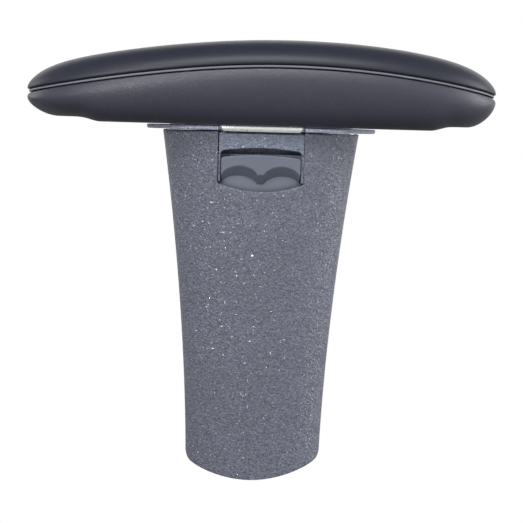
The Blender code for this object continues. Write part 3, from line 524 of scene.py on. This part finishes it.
def settle(obj, *modifiers):
    """Applies modifiers given as (kind, settings) and drops the tools that they used."""
    tools = []
    for kind, settings in modifiers:
        modifier = obj.modifiers.new(kind.lower(), kind)
        for name, value in settings.items():
            setattr(modifier, name, value)
        if kind == "BOOLEAN":
            tools.append(settings["object"])
    depsgraph = bpy.context.evaluated_depsgraph_get()
    mesh = bpy.data.meshes.new_from_object(obj.evaluated_get(depsgraph))
    obj.modifiers.clear()
    obj.data = mesh
    for used in tools:
        bpy.data.objects.remove(used, do_unlink=True)
    return obj


def boolean(operation, other):
    return "BOOLEAN", {"operation": operation, "solver": "EXACT", "object": other}


def rounded(width, segments=3, angle=40):
    limit = {"limit_method": "ANGLE", "angle_limit": math.radians(angle)}
    return "BEVEL", {"width": width, "segments": segments, **limit}


def shade(obj, angle=38):
    obj.data.shade_smooth()
    obj.data.set_sharp_from_angle(angle=math.radians(angle))
    return obj


# The pad.

PAD_ANGLES = even_angles(300, PAD_HALF_LENGTH, PAD_HALF_WIDTH, PAD_PLAN_POWER)


def seam_z(x):
    away = x - SEAM_TOP_X
    if away > 0:
        drop = away**2 / (2 * SEAM_REAR_RADIUS)
    else:
        reach = FRONT_DROOP_LENGTH
        drop = reach**2 / SEAM_FRONT_RADIUS * (math.sqrt(1 + (away / reach) ** 2) - 1)
    return PAD_BASE_Z + SEAM_TOP - drop


def pad_ring(height, inset=0.0, share=1.0):
    points = []
    for angle in PAD_ANGLES:
        x, y = superellipse(angle, PAD_HALF_LENGTH - inset, PAD_HALF_WIDTH - inset, PAD_PLAN_POWER)
        x, y = x * share, y * share
        points.append((x, y, height(x)))
    return points


def seam_plus(offset):
    return lambda x: seam_z(x) + offset


def crown_ring(lift=None, share_of=None):
    """A ring of the crowned top, at a turn of its rise or at a share of the ring at CROWN_LAST."""
    points = []
    base = GROOVE_HALF + CUSHION_LIP
    for angle in PAD_ANGLES:
        power = 9.2 * math.cos(angle) ** 2 + 4.9 * math.sin(angle) ** 2
        turn = CROWN_LAST if lift is None else lift
        share = math.cos(turn) ** (2 / power)
        if share_of is not None:
            share *= share_of
        x, y = superellipse(angle, PAD_HALF_LENGTH, PAD_HALF_WIDTH, PAD_PLAN_POWER)
        x, y = x * share, y * share
        height = UPPER_THICKNESS + CROWN_SLOPE * x - CUSHION_LIP
        rise = height * (1 - share**power) ** CROWN_POWER
        points.append((x, y, seam_z(x) + base + rise))
    return points


def upper_cushion():
    """The crowned arm surface: a flat underside, a rounded lower lip and the crown."""
    under = GROOVE_HALF
    rings = [[(0, 0, seam_z(0) + under)]]
    rings += [pad_ring(seam_plus(under), share=s) for s in (0.25, 0.5, 0.7, 0.85)]
    rings.append(pad_ring(seam_plus(under), inset=0.0016))
    for inset, offset in ((0.0011, 0.0), (0.0007, 0.00003), (0.00035, 0.00015), (0.0001, 0.00042)):
        rings.append(pad_ring(seam_plus(GROOVE_HALF + offset), inset=inset))
    rings += [crown_ring(lift=CROWN_LAST * i / 26) for i in range(27)]
    rings += [crown_ring(share_of=s) for s in (0.93, 0.84, 0.72, 0.58, 0.42, 0.25, 0.1)]
    rings.append([(0, 0, seam_z(0) + GROOVE_HALF + UPPER_THICKNESS)])
    return object_from("cushion_upper", *loft(rings), cushion_finish)


def core_board():
    """The stiff board inside the pad, whose rim is the bead in the groove."""
    inner = 0.0085
    rings = [[(0, 0, seam_z(0) - CORE_THICKNESS)]]
    rings += [pad_ring(seam_plus(-CORE_THICKNESS), share=s) for s in (0.25, 0.5, 0.7)]
    rings.append(pad_ring(seam_plus(-CORE_THICKNESS), inset=inner))
    rings.append(pad_ring(seam_plus(BEAD_LOW), inset=inner - 0.0015))
    middle, half = (BEAD_LOW + BEAD_HIGH) / 2, (BEAD_HIGH - BEAD_LOW) / 2
    for step in range(9):
        turn = math.pi * (step / 8 - 0.5)
        inset = BEAD_INSET + 0.0003 * (1 - math.cos(turn))
        rings.append(pad_ring(seam_plus(middle + half * math.sin(turn)), inset=inset))
    rings += [pad_ring(seam_plus(BEAD_HIGH), share=s) for s in (0.85, 0.7, 0.5, 0.25)]
    rings.append([(0, 0, seam_z(0) + BEAD_HIGH)])
    return object_from("core_board_rim", *loft(rings), core_finish)


def underside_z(x):
    return PAD_BASE_Z + END_STEP * smoothstep(STEP_START, STEP_END, abs(x - PLATEAU_X))


def towards_end(angle):
    return math.cos(angle) ** 6


def hull_ring(turn, inset_by=0.0, raise_by=0.0, share=1.0):
    """A ring of the lower shell, from its widest line at turn 0 to its underside at turn 1."""
    points = []
    for angle in PAD_ANGLES:
        end_tuck = REAR_TUCK if math.cos(angle) > 0 else FRONT_TUCK
        tuck = SIDE_TUCK + (end_tuck - SIDE_TUCK) * towards_end(angle)
        sharper = 1 - 0.15 * towards_end(angle)
        inset = inset_by + tuck * (1 - math.cos(turn * math.pi / 2)) ** sharper
        x, y = superellipse(angle, PAD_HALF_LENGTH - inset, PAD_HALF_WIDTH - inset, PAD_PLAN_POWER)
        widest = seam_z(x) - WIDEST_AT_SIDE - (WIDEST_AT_END - WIDEST_AT_SIDE) * towards_end(angle)
        x, y = x * share, y * share
        z = widest - (widest - underside_z(x)) * math.sin(turn * math.pi / 2)
        points.append((x, y, z + raise_by * turn))
    return points


def brow_ring(share):
    """A ring of the brow between the lower shell's rim at 0 and its widest line at 1."""
    points = []
    small = 0.0004
    for angle in PAD_ANGLES:
        low = WIDEST_AT_SIDE + (WIDEST_AT_END - WIDEST_AT_SIDE) * towards_end(angle) - GROOVE_HALF
        down = low * share**1.5
        inset = RIM_INSET * (1 - down / low) ** 1.8 + 0.8 * rounded_edge(down, small)
        x, y = superellipse(angle, PAD_HALF_LENGTH - inset, PAD_HALF_WIDTH - inset, PAD_PLAN_POWER)
        points.append((x, y, seam_z(x) - GROOVE_HALF - down))
    return points


def lower_shell():
    """The pad's underside: rim, brow, hull and flat bottom, with an inner skin a wall's thickness in."""
    rim = -GROOVE_HALF
    rings = [pad_ring(seam_plus(rim - 0.0004), inset=0.0034), pad_ring(seam_plus(rim), inset=0.0030)]
    rings.append(pad_ring(seam_plus(rim), inset=0.0022))
    rings += [brow_ring(i / 14) for i in range(14)]
    rings += [hull_ring(i / 30) for i in range(31)]
    shares = (0.97, 0.94, 0.91, 0.88, 0.85, 0.82, 0.79, 0.76, 0.72, 0.66, 0.55, 0.4, 0.2)
    rings += [hull_ring(1.0, share=s) for s in shares]
    rings.append([(0, 0, underside_z(0))])
    rings.append([(0, 0, underside_z(0) + LOWER_WALL)])
    rings += [hull_ring(1.0, LOWER_WALL, LOWER_WALL, s) for s in (0.3, 0.6, 0.8, 0.9)]
    rings += [hull_ring(t, LOWER_WALL, LOWER_WALL) for t in (1.0, 0.85, 0.7, 0.5, 0.3, 0.0)]
    middle = next(i for i in range(1, len(rings)) if len(rings[i]) == 1)
    outer = loft(rings[: middle + 1])
    inner = loft(rings[middle + 1 :])
    points, faces = merged(outer, inner)
    count = len(PAD_ANGLES)
    last = len(points) - count
    faces += [(i, (i + 1) % count, last + (i + 1) % count, last + i) for i in range(count)]
    return object_from("pad_lower_shell_skin", points, faces, shell_finish)


# The sleeve.


def sleeve_halves(depth, inset=0.0):
    flare = max(0.0, 1 - depth / SLEEVE_HEM) ** SLEEVE_FLARE_POWER
    half_x = SLEEVE_FOOT_HALF_WIDTH + SLEEVE_FLARE_WIDTH * flare - inset
    half_y = SLEEVE_FOOT_HALF_DEPTH + SLEEVE_FLARE_DEPTH * flare - inset
    return half_x, half_y


def face_y(x, depth, inset=0.0):
    """Y of the sleeve's front surface, sunk by an inset."""
    half_x, half_y = sleeve_halves(depth, inset)
    return -half_y * (1 - min(1.0, abs(x) / half_x) ** SLEEVE_POWER) ** (1 / SLEEVE_POWER)


def hem_depth(x):
    share = min(1.0, abs(x) / SLEEVE_FOOT_HALF_WIDTH)
    return SLEEVE_HEM - HEM_RISE * share**1.85 - HEM_CORNER_RISE * share**40 - HEM_SLOPE * x


def edge_angle(depth):
    """The angle at which the sleeve's outline reaches the recess's side."""
    half_x, _ = sleeve_halves(depth)
    return math.acos((RECESS_HALF_WIDTH / half_x) ** (SLEEVE_POWER / 2))


def wrap_shares(count):
    """Shares of the way round the back, from one side of the recess to the other, evenly spaced."""
    depth = 0.09
    start = -edge_angle(depth)
    fine = np.linspace(start, math.pi + edge_angle(depth), 6001)
    points = np.array([superellipse(a, *sleeve_halves(depth), SLEEVE_POWER) for a in fine])
    run = np.concatenate([[0], np.cumsum(np.linalg.norm(np.diff(points, axis=0), axis=1))])
    return list(np.interp(np.linspace(0, run[-1], count), run, np.linspace(0, 1, 6001)))


def sleeve():
    """A skin with a notch in its upper front, which Solidify gives a wall and Bevel rounded edges."""
    wraps = wrap_shares(150)
    across = [RECESS_HALF_WIDTH * (2 * i / 44 - 1) for i in range(45)]
    upper_rows = [SLEEVE_TOP + (SMILE_SIDE - SLEEVE_TOP) * i / 9 for i in range(9)]
    lower_steps = [i / 50 for i in range(51)]

    def wrapped(share, depth):
        start = -edge_angle(depth)
        angle = start + share * (math.pi - 2 * start)
        x, y = superellipse(angle, *sleeve_halves(depth), SLEEVE_POWER)
        return (x, y, z_at(depth))

    points, rows = [], []

    def add(point):
        points.append(point)
        return len(points) - 1

    for depth in upper_rows:
        rows.append([add(wrapped(s, depth)) for s in wraps])
    for step in lower_steps:
        row = []
        for s in wraps:
            foot = wrapped(s, SLEEVE_HEM)[0]
            depth = SMILE_SIDE + (hem_depth(foot) - SMILE_SIDE) * step
            row.append(add(wrapped(s, depth)))
        for x in across[1:-1]:
            top = bow(x, SMILE_SIDE, SMILE_MIDDLE)
            depth = top + (hem_depth(x) - top) * step
            row.append(add((x, face_y(x, depth), z_at(depth))))
        rows.append(row)
    faces = []
    for upper, lower in zip(rows, rows[1:]):
        count = len(upper)
        around = count - 1 if count == len(wraps) else count
        for i in range(around):
            j = (i + 1) % count
            faces.append((upper[i], lower[i], lower[j], upper[j]))
    made = object_from("sleeve_shell", points, faces, sleeve_finish)
    wall = "SOLIDIFY", {"thickness": SLEEVE_WALL, "offset": -1.0, "use_even_offset": True}
    settle(made, wall, rounded(0.00045, 3, 50))
    cutters = []
    for number, depth in enumerate(SLEEVE_SCREW_DEPTHS):
        centre = (0, z_at(depth))
        back = sleeve_halves(depth)[1]
        boss = stub("Y", centre, SCREW_BOSS[0], SCREW_BOSS[1], back - 0.001)
        sink = stub("Y", centre, SCREW_SINK[0], SCREW_SINK[1], back + PAST)
        hole = stub("Y", centre, SCREW_HOLE[0], SCREW_HOLE[1], back + PAST)
        cutters.append(boolean("UNION", tool(f"tool_boss_{number}", *boss)))
        cutters.append(boolean("DIFFERENCE", tool(f"tool_sink_{number}", *sink)))
        cutters.append(boolean("DIFFERENCE", tool(f"tool_hole_{number}", *hole)))
    settle(made, *cutters)
    return shade(made, 42)


def lathe(axis, centre, profile, sides=40):
    """A solid of revolution. Its profile of (radius, place) pairs starts and ends on the axis."""
    index = "XYZ".index(axis)
    rings = []
    for radius, along in profile:
        ring = []
        for step in range(sides if radius else 1):
            angle = 2 * math.pi * step / sides
            place = [centre[0] + radius * math.cos(angle), centre[1] + radius * math.sin(angle)]
            place.insert(index, along)
            ring.append(tuple(place))
        rings.append(ring)
    return loft(rings)


def stub(axis, centre, radius, start, end):
    """A plain round peg from start to end along the axis."""
    return lathe(axis, centre, [(0.0, start), (radius, start), (radius, end), (0.0, end)])


# The lever and its housing.


def slab(columns, rows, top, bottom, front, back):
    """A closed slab: a front grid of front(x, depth) between two depth curves, and a flat back."""
    points, faces = [], []
    grid = []
    for t in rows:
        line = []
        for x in columns:
            depth = top(x) + (bottom(x) - top(x)) * t
            line.append(len(points))
            points.append((x, front(x, depth), z_at(depth)))
        grid.append(line)
    behind = []
    for t in (rows[0], *rows[1:-1:6], rows[-1]):
        line = []
        for x in columns:
            depth = top(x) + (bottom(x) - top(x)) * t
            line.append(len(points))
            points.append((x, back, z_at(depth)))
        behind.append((rows.index(t), line))
    for upper, lower in zip(grid, grid[1:]):
        for i in range(len(columns) - 1):
            faces.append((upper[i], lower[i], lower[i + 1], upper[i + 1]))
    for (_, upper), (_, lower) in zip(behind, behind[1:]):
        for i in range(len(columns) - 1):
            faces.append((upper[i], upper[i + 1], lower[i + 1], lower[i]))
    for i in range(len(columns) - 1):
        faces.append((grid[0][i], grid[0][i + 1], behind[0][1][i + 1], behind[0][1][i]))
        faces.append((grid[-1][i], behind[-1][1][i], behind[-1][1][i + 1], grid[-1][i + 1]))
    for (a, upper), (b, lower) in zip(behind, behind[1:]):
        left = [grid[i][0] for i in range(a, b + 1)]
        right = [grid[i][-1] for i in range(a, b + 1)]
        faces.append((*left, lower[0], upper[0]))
        faces.append((*reversed(right), upper[-1], lower[-1]))
    return points, faces


def rounded_edge(distance, radius):
    """How far a surface has turned back at a distance from its edge, for an edge of this radius."""
    if distance >= radius:
        return 0.0
    return radius - math.sqrt(max(0.0, radius**2 - (radius - distance) ** 2))


def spaced(low, high, count, radius):
    """Places from low to high, close together near both ends."""
    near = [radius * (1 - math.cos(math.pi / 2 * i / 5)) for i in range(6)]
    middle = [low + radius + (high - low - 2 * radius) * i / count for i in range(1, count)]
    return [low + n for n in near] + middle + [high - n for n in reversed(near)]


def lever():
    """The grip with its two finger scoops, the plate behind it and the lugs for the springs."""
    half = LEVER_HALF_WIDTH
    edge = 0.0005

    def top(x):
        return bow(x, LEVER_TOP_SIDE, LEVER_TOP_MIDDLE) + corner(x, half, LEVER_CORNER)

    def scoop_top(x):
        """Depth of the two arches, and of the feet beside and between them."""
        share = (abs(x) - SCOOP_CENTRE_X) / SCOOP_HALF_WIDTH
        if abs(share) >= 1:
            return SCOOP_FOOT
        return SCOOP_FOOT - SCOOP_RISE * (1 - share**2) ** 0.72

    def front(x, depth):
        surface = face_y(x, depth, 0.0004)
        surface += rounded_edge(half - abs(x), edge)
        surface += rounded_edge(depth - top(x), edge)
        into = depth - scoop_top(x)
        lip = 0.0009
        if into < 0:
            return surface
        gone = into - lip / 2 if into > lip else into**2 / (2 * lip)
        return min(surface + gone / SCOOP_SLOPE, FLOOR_Y)

    columns = spaced(-half, half, 250, edge)
    height = LEVER_BOTTOM - LEVER_TOP_MIDDLE
    rows = [edge / height * (1 - math.cos(math.pi / 2 * i / 5)) for i in range(6)]
    rows += [edge / height + (1 - edge / height) * i / 140 for i in range(1, 141)]
    body = slab(columns, rows, top, lambda x: LEVER_BOTTOM, front, LEVER_BACK_Y)
    wide = 0.0240  # the plate behind the grip runs on behind the sleeve's edges
    inside = 0.00015
    deep = (FLOOR_Y + inside, LEVER_BACK_Y - inside)
    plate = block((-wide, wide), deep, (z_at(LEVER_BOTTOM), z_at(0.0190)))
    lug_x, lug_half = 0.018, 0.003
    lugs = []
    for x in (-lug_x, lug_x):
        sides = (x - lug_half, x + lug_half)
        lugs.append(block(sides, (LEVER_BACK_Y - 0.001, -0.0132), (z_at(0.0340), z_at(0.0303))))
    return object_from("release_lever_grip", *merged(body, plate, *lugs), lever_finish, 50)


def housing():
    """The panel above the lever, the legs beside it, the lip behind its edge and the frame."""
    left, right = PANEL_LEFT, PANEL_RIGHT
    inner = LEVER_HALF_WIDTH + 0.0003
    edge = 0.0004

    def top(x):
        return PANEL_TOP

    def bottom(x):
        return bow(x, ARCH_SIDE, ARCH_MIDDLE) + corner(x, inner, ARCH_CORNER) * 0.8

    def front(x, depth):
        surface = face_y(x, depth)
        surface += rounded_edge(depth - PANEL_TOP, edge)
        surface += rounded_edge(bottom(x) - depth, edge)
        surface += rounded_edge(min(x - left, right - x), 0.00025)
        return surface

    def lip_top(x):
        return bottom(x) - 0.0030

    def lip_bottom(x):
        return bottom(x) + 0.0002

    columns = spaced(left, right, 88, 0.0004)
    height = ARCH_MIDDLE - PANEL_TOP
    share = edge / height
    near = [share * (1 - math.cos(math.pi / 2 * i / 5)) for i in range(6)]
    between = [share + (1 - 2 * share) * i / 20 for i in range(1, 20)]
    rows = near + between + [1 - n for n in reversed(near)]
    panel = slab(columns, rows, top, bottom, front, HOUSING_BACK_Y)

    def leg_front(x, depth):
        """Each leg's face leans in towards the lever."""
        outer = left if x < 0 else right
        surface = face_y(x, depth, 0.0002) + 0.9 * abs(outer - x)
        return surface + rounded_edge(LEG_DEPTH - depth, edge)

    def leg_top(x):
        return ARCH_SIDE - 0.002

    def leg_bottom(x):
        return LEG_DEPTH

    def lip_front(x, depth):
        return face_y(x, depth, 0.0024)

    legs = []
    for a, b in ((left, -inner), (inner, right)):
        across, down = spaced(a, b, 6, 0.0002), [i / 30 for i in range(31)]
        legs.append(slab(across, down, leg_top, leg_bottom, leg_front, HOUSING_BACK_Y))
    lip = slab(columns, [i / 8 for i in range(9)], lip_top, lip_bottom, lip_front, -0.0225)
    half, back_half = 0.0217, 0.0238
    high = z_at(0.0034)
    frame_blocks = [
        block((-half, half), (-0.0250, -0.0110), (z_at(0.0090), z_at(0.0041))),
        block((-half, half), (-0.0265, -0.0110), (z_at(0.0075), high)),
        block((-back_half, back_half), (-0.0130, -0.0110), (z_at(0.0177), high)),
        block((-back_half, back_half), (-0.0193, -0.0115), (z_at(0.0177), z_at(0.0147))),
    ]
    points, faces = merged(panel, *legs, lip, *frame_blocks)
    return object_from("lever_housing_panel", points, faces, panel_finish, 50)


# The collar and the mounting plate.


def outline_ring(angles, half_x, half_y, power, inset, depth):
    ring = []
    for angle in angles:
        x, y = superellipse(angle, half_x - inset, half_y - inset, power)
        ring.append((x, y, z_at(depth)))
    return ring


def rounded_rectangle(half_x, half_y, radius, steps=10):
    points = []
    for quadrant in range(4):
        sign_x = 1 if quadrant in (0, 3) else -1
        sign_y = 1 if quadrant in (0, 1) else -1
        for step in range(steps + 1):
            angle = math.pi / 2 * (quadrant + step / steps)
            x = sign_x * (half_x - radius) + radius * math.cos(angle)
            y = sign_y * (half_y - radius) + radius * math.sin(angle)
            points.append((x, y))
    return points


def prism(outline, low, high, axis="Z"):
    """An outline drawn out along Z, or one of (x, z) points drawn out along Y."""

    def place(point, along):
        return (point[0], along, point[1]) if axis == "Y" else (point[0], point[1], along)

    count = len(outline)
    points = [place(p, low) for p in outline] + [place(p, high) for p in outline]
    faces = [tuple(range(count)), tuple(reversed(range(count, 2 * count)))]
    faces += [(i, i + count, (i + 1) % count + count, (i + 1) % count) for i in range(count)]
    return points, faces


def collar():
    """The thin flange between pad and sleeve, with room for the mounting plate and its tab."""
    angles = even_angles(220, COLLAR_HALF_LENGTH, COLLAR_HALF_DEPTH, 3.4)
    top, bottom, roll, small = PLATE_TOP + 0.0002, COLLAR_BOTTOM - 0.0003, 0.0008, 0.0003
    turns = (0, 0.5, 1.0, math.pi / 2)
    profile = [(small * (1 - math.sin(t)), top + small * (1 - math.cos(t))) for t in turns]
    turns = [math.pi / 2 * i / 6 for i in range(7)]
    profile += [(roll * (1 - math.cos(t)), bottom - roll + roll * math.sin(t)) for t in turns]
    rings = [outline_ring(angles, COLLAR_HALF_LENGTH, COLLAR_HALF_DEPTH, 3.4, i, d) for i, d in profile]
    middle_top, middle_bottom = [(0, 0, z_at(top))], [(0, 0, z_at(bottom))]
    made = object_from("collar_flange", *loft([middle_top, *rings, middle_bottom]), collar_painted_light_finish)
    room = 0.0004
    opening = rounded_rectangle(PLATE_HALF_LENGTH + room, PLATE_HALF_DEPTH + room, 0.006 + room)
    low, high = z_at(bottom + PAST), z_at(top - PAST)
    notch = rounded_rectangle(RECESS_HALF_WIDTH, 0.011, 0.0008, 4)
    notch = [(x, y - 0.029) for x, y in notch]
    settle(
        made,
        boolean("DIFFERENCE", tool("tool_opening", *prism(opening, low, high))),
        boolean("DIFFERENCE", tool("tool_notch", *prism(notch, low, high))),
        rounded(0.00025, 2, 55),
    )
    return shade(made)


def middle_xy(node):
    """The middle of a CAD node's box, seen from above."""
    low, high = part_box(node)
    return ((low[0] + high[0]) / 2, (low[1] + high[1]) / 2)


def mounting_plate():
    """The plate with its chamfered tab and its screw holes."""
    top, bottom = z_at(PLATE_TOP), z_at(PLATE_BOTTOM)
    made = object_from(
        "mounting_plate_steel",
        *prism(rounded_rectangle(PLATE_HALF_LENGTH, PLATE_HALF_DEPTH, 0.006), bottom, top),
        zinc_finish,
    )
    half, chamfer = TAB_HALF_WIDTH, TAB_CHAMFER
    tab = [(-half, top), (half, top), (half - chamfer, bottom), (-half + chamfer, bottom)]
    steps = [boolean("UNION", tool("tool_tab", *prism(tab, TAB_FRONT_Y, -0.018, "Y")))]
    low, high = bottom - PAST, top + PAST
    for number in range(1, 5):
        hole = stub("Z", middle_xy(f"pad_screw_{number}"), PAD_SCREW_HOLE, low, high)
        steps.append(boolean("DIFFERENCE", tool(f"tool_plate_hole_{number}", *hole)))
    sink = z_at(HOUSING_SINK_DEPTH)
    for number in (1, 2):
        profile = [
            (0.0, low),
            (HOUSING_SCREW_HOLE, low),
            (HOUSING_SCREW_HOLE, sink),
            (HOUSING_SCREW_SINK, sink),
            (HOUSING_SCREW_SINK, high),
            (0.0, high),
        ]
        hole = lathe("Z", middle_xy(f"housing_screw_{number}"), profile)
        steps.append(boolean("DIFFERENCE", tool(f"tool_sunk_hole_{number}", *hole)))
    settle(made, *steps, rounded(0.0002, 2, 35))
    return shade(made)


def place(piece, node, slot, body="arm"):
    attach(piece, body)
    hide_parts(node)
    return piece


cushion = place(upper_cushion(), "pad_upper_cushion", "cushion")
place(core_board(), "pad_core_board", "core")
place(lower_shell(), "pad_lower_shell", "lower_shell")
place(sleeve(), "sleeve", "sleeve_plastic")
place(collar(), "collar_plate", "sleeve_plastic")
place(mounting_plate(), "mounting_plate", "zinc_steel")
place(housing(), "lever_housing", "sleeve_plastic")
place(lever(), "release_lever", "lever_plastic", "lever")

SLOT_FINISHES = {
    "zinc_steel": zinc_finish,
    "steel": steel_finish,
    "nylon": nylon_finish,
}
REPLACED = {
    "pad_upper_cushion",
    "pad_core_board",
    "pad_lower_shell",
    "sleeve",
    "collar_plate",
    "mounting_plate",
    "lever_housing",
    "release_lever",
}
SLOTS = {entry["node"]: entry["material_slot"] for entry in frame["record"]["subparts"]}
for name, node in frame["nodes"].items():
    if name in REPLACED:
        continue
    finish = spring_finish if "spring" in name or "clip" in name else SLOT_FINISHES[SLOTS[name]]
    node.data.materials.clear()
    node.data.materials.append(finish)
    if "screw" in name or "rivet" in name or "pin" in name or "insert" in name or "spring" in name:
        continue
    softened = node.modifiers.new("edges", "BEVEL")
    softened.width = 0.00025
    softened.segments = 2
    softened.limit_method = "ANGLE"
    softened.angle_limit = math.radians(50)


# Stage, light and camera.

# The floor's colour by distance in metres, a painted shadow darkest under the object that only bounced
# light sees, and the sky's brightness from straight down at 0 to straight up at 1.
FLOOR_PAINTED_SHADOW = ((0.0, 0.06), (0.30, 0.10), (0.9, 0.40))
SKY_SHADES = ((0.0, 0.10), (0.38, 0.30), (0.44, 1.00), (0.70, 0.95), (0.85, 0.22), (1.0, 0.12))
SKY_STRENGTH = 0.86
LEFT_SHARE = 0.59
RIGHT_SHARE = 1.28
STAGE_FLOOR_Z = -0.30
STAGE_RADII = (0.4, 0.8, 1.2)
LIGHTS_AIM = (0.0, 0.0, 0.12)
CAMERA_PLACE = (-0.0125, -0.750, PAD_BASE_Z + 0.0038)
CAMERA_TURNS = (0.0197, -0.1018, 0.0285)  # pan to the right, tilt and roll, in radians
CAMERA_LENS = 96.209  # millimetres, on a sensor 36 wide


def seen_white(tree, shading, output):
    """Shows a plain white to the camera, and the given shading to everything else."""
    nodes, links = tree.nodes, tree.links
    world = output.bl_idname == "ShaderNodeOutputWorld"
    white = nodes.new("ShaderNodeBackground" if world else "ShaderNodeEmission")
    white.inputs["Color"].default_value = (1, 1, 1, 1)
    white.inputs["Strength"].default_value = 1.0
    sight = nodes.new("ShaderNodeLightPath")
    both = nodes.new("ShaderNodeMixShader")
    links.new(sight.outputs["Is Camera Ray"], both.inputs["Fac"])
    links.new(shading, both.inputs[1])
    links.new(white.outputs[0], both.inputs[2])
    links.new(both.outputs["Shader"], output.inputs["Surface"])


def ramp(tree, value, stops):
    """Numbers along a value, as (place, number) pairs."""
    node = tree.nodes.new("ShaderNodeValToRGB")
    tree.links.new(value, node.inputs["Fac"])
    elements = node.color_ramp.elements
    elements.remove(elements[1])
    elements[0].position = stops[0][0]
    elements[0].color = (stops[0][1],) * 3 + (1,)
    for where, number in stops[1:]:
        elements.new(where).color = (number, number, number, 1)
    return node.outputs["Color"]


def stage_floor():
    rings = [[(0, 0, 0)]]
    angles = np.linspace(0, 2 * math.pi, 96, False)
    for radius in STAGE_RADII:
        rings.append([(radius * math.cos(a), radius * math.sin(a), 0) for a in angles])
    material = bpy.data.materials.new("pale_floor")
    material.use_nodes = True
    tree = material.node_tree
    shader = tree.nodes["Principled BSDF"]
    shader.inputs["Roughness"].default_value = 0.9
    place = tree.nodes.new("ShaderNodeTexCoord").outputs["Object"]
    reach = tree.nodes.new("ShaderNodeVectorMath")
    reach.operation = "LENGTH"
    tree.links.new(place, reach.inputs[0])
    # The floor's base colour is a painted shadow: dark under the object and paler further out. The
    # camera sees the floor white.
    tree.links.new(ramp(tree, reach.outputs["Value"], FLOOR_PAINTED_SHADOW), shader.inputs["Base Color"])
    seen_white(tree, shader.outputs["BSDF"], tree.nodes["Material Output"])
    floor = object_from("studio_floor", *loft(rings), material)
    floor.location.z = STAGE_FLOOR_Z


def studio_world():
    """Bright round the horizon, dim overhead and below, and a little brighter on the right."""
    world = bpy.data.worlds.new("studio")
    world.use_nodes = True
    bpy.context.scene.world = world
    tree = world.node_tree
    direction = tree.nodes.new("ShaderNodeTexCoord").outputs["Generated"]
    parts = tree.nodes.new("ShaderNodeSeparateXYZ")
    tree.links.new(direction, parts.inputs["Vector"])
    height = tree.nodes.new("ShaderNodeMapRange")
    height.inputs["From Min"].default_value = -1.0
    tree.links.new(parts.outputs["Z"], height.inputs["Value"])
    side = tree.nodes.new("ShaderNodeMapRange")
    side.inputs["From Min"].default_value = -1.0
    side.inputs["To Min"].default_value = LEFT_SHARE * SKY_STRENGTH
    side.inputs["To Max"].default_value = RIGHT_SHARE * SKY_STRENGTH
    tree.links.new(parts.outputs["X"], side.inputs["Value"])
    product = tree.nodes.new("ShaderNodeMath")
    product.operation = "MULTIPLY"
    tree.links.new(ramp(tree, height.outputs["Result"], SKY_SHADES), product.inputs[0])
    tree.links.new(side.outputs["Result"], product.inputs[1])
    background = tree.nodes["Background"]
    background.inputs["Color"].default_value = (1, 1, 1, 1)
    tree.links.new(product.outputs["Value"], background.inputs["Strength"])
    seen_white(tree, background.outputs["Background"], tree.nodes["World Output"])


def area_light(name, place, aim, size, power, colour=(1, 1, 1)):
    data = bpy.data.lights.new(name, "AREA")
    data.shape = "RECTANGLE"
    data.size, data.size_y = size
    data.energy = power
    data.color = colour
    light = bpy.data.objects.new(name, data)
    light.location = place
    light.rotation_mode = "QUATERNION"
    light.rotation_quaternion = (Vector(aim) - Vector(place)).to_track_quat("-Z", "Y")
    bpy.context.scene.collection.objects.link(light)


def camera():
    place = Vector(CAMERA_PLACE)
    pan, tilt, roll = CAMERA_TURNS
    forward = Vector((math.sin(pan) * math.cos(tilt), math.cos(pan) * math.cos(tilt), math.sin(tilt)))
    level = Vector((math.cos(pan), -math.sin(pan), 0))
    upright = level.cross(forward)
    right = level * math.cos(roll) + upright * math.sin(roll)
    up = upright * math.cos(roll) - level * math.sin(roll)
    data = bpy.data.cameras.new("camera")
    data.sensor_width = 36.0
    data.lens = CAMERA_LENS
    made = bpy.data.objects.new("camera", data)
    turn = Matrix((right, up, -forward)).transposed().to_4x4()
    made.matrix_world = Matrix.Translation(place) @ turn
    bpy.context.scene.collection.objects.link(made)
    bpy.context.scene.camera = made


stage_floor()
studio_world()
area_light("front_box", (-0.05, -0.95, 1.20), LIGHTS_AIM, (0.8, 0.40), 12)
area_light("left_key", (-0.55, -1.00, 0.50), LIGHTS_AIM, (0.12, 0.12), 5)
area_light("left_side", (-1.10, 0.45, 0.40), LIGHTS_AIM, (0.4, 0.7), 2.5)
area_light("right_side", (1.10, -0.05, 0.40), LIGHTS_AIM, (0.5, 0.9), 7)
area_light("back_rim", (0.0, 0.90, 0.60), LIGHTS_AIM, (1.6, 0.3), 1.6)
camera()
bpy.context.scene.view_settings.view_transform = "Standard"
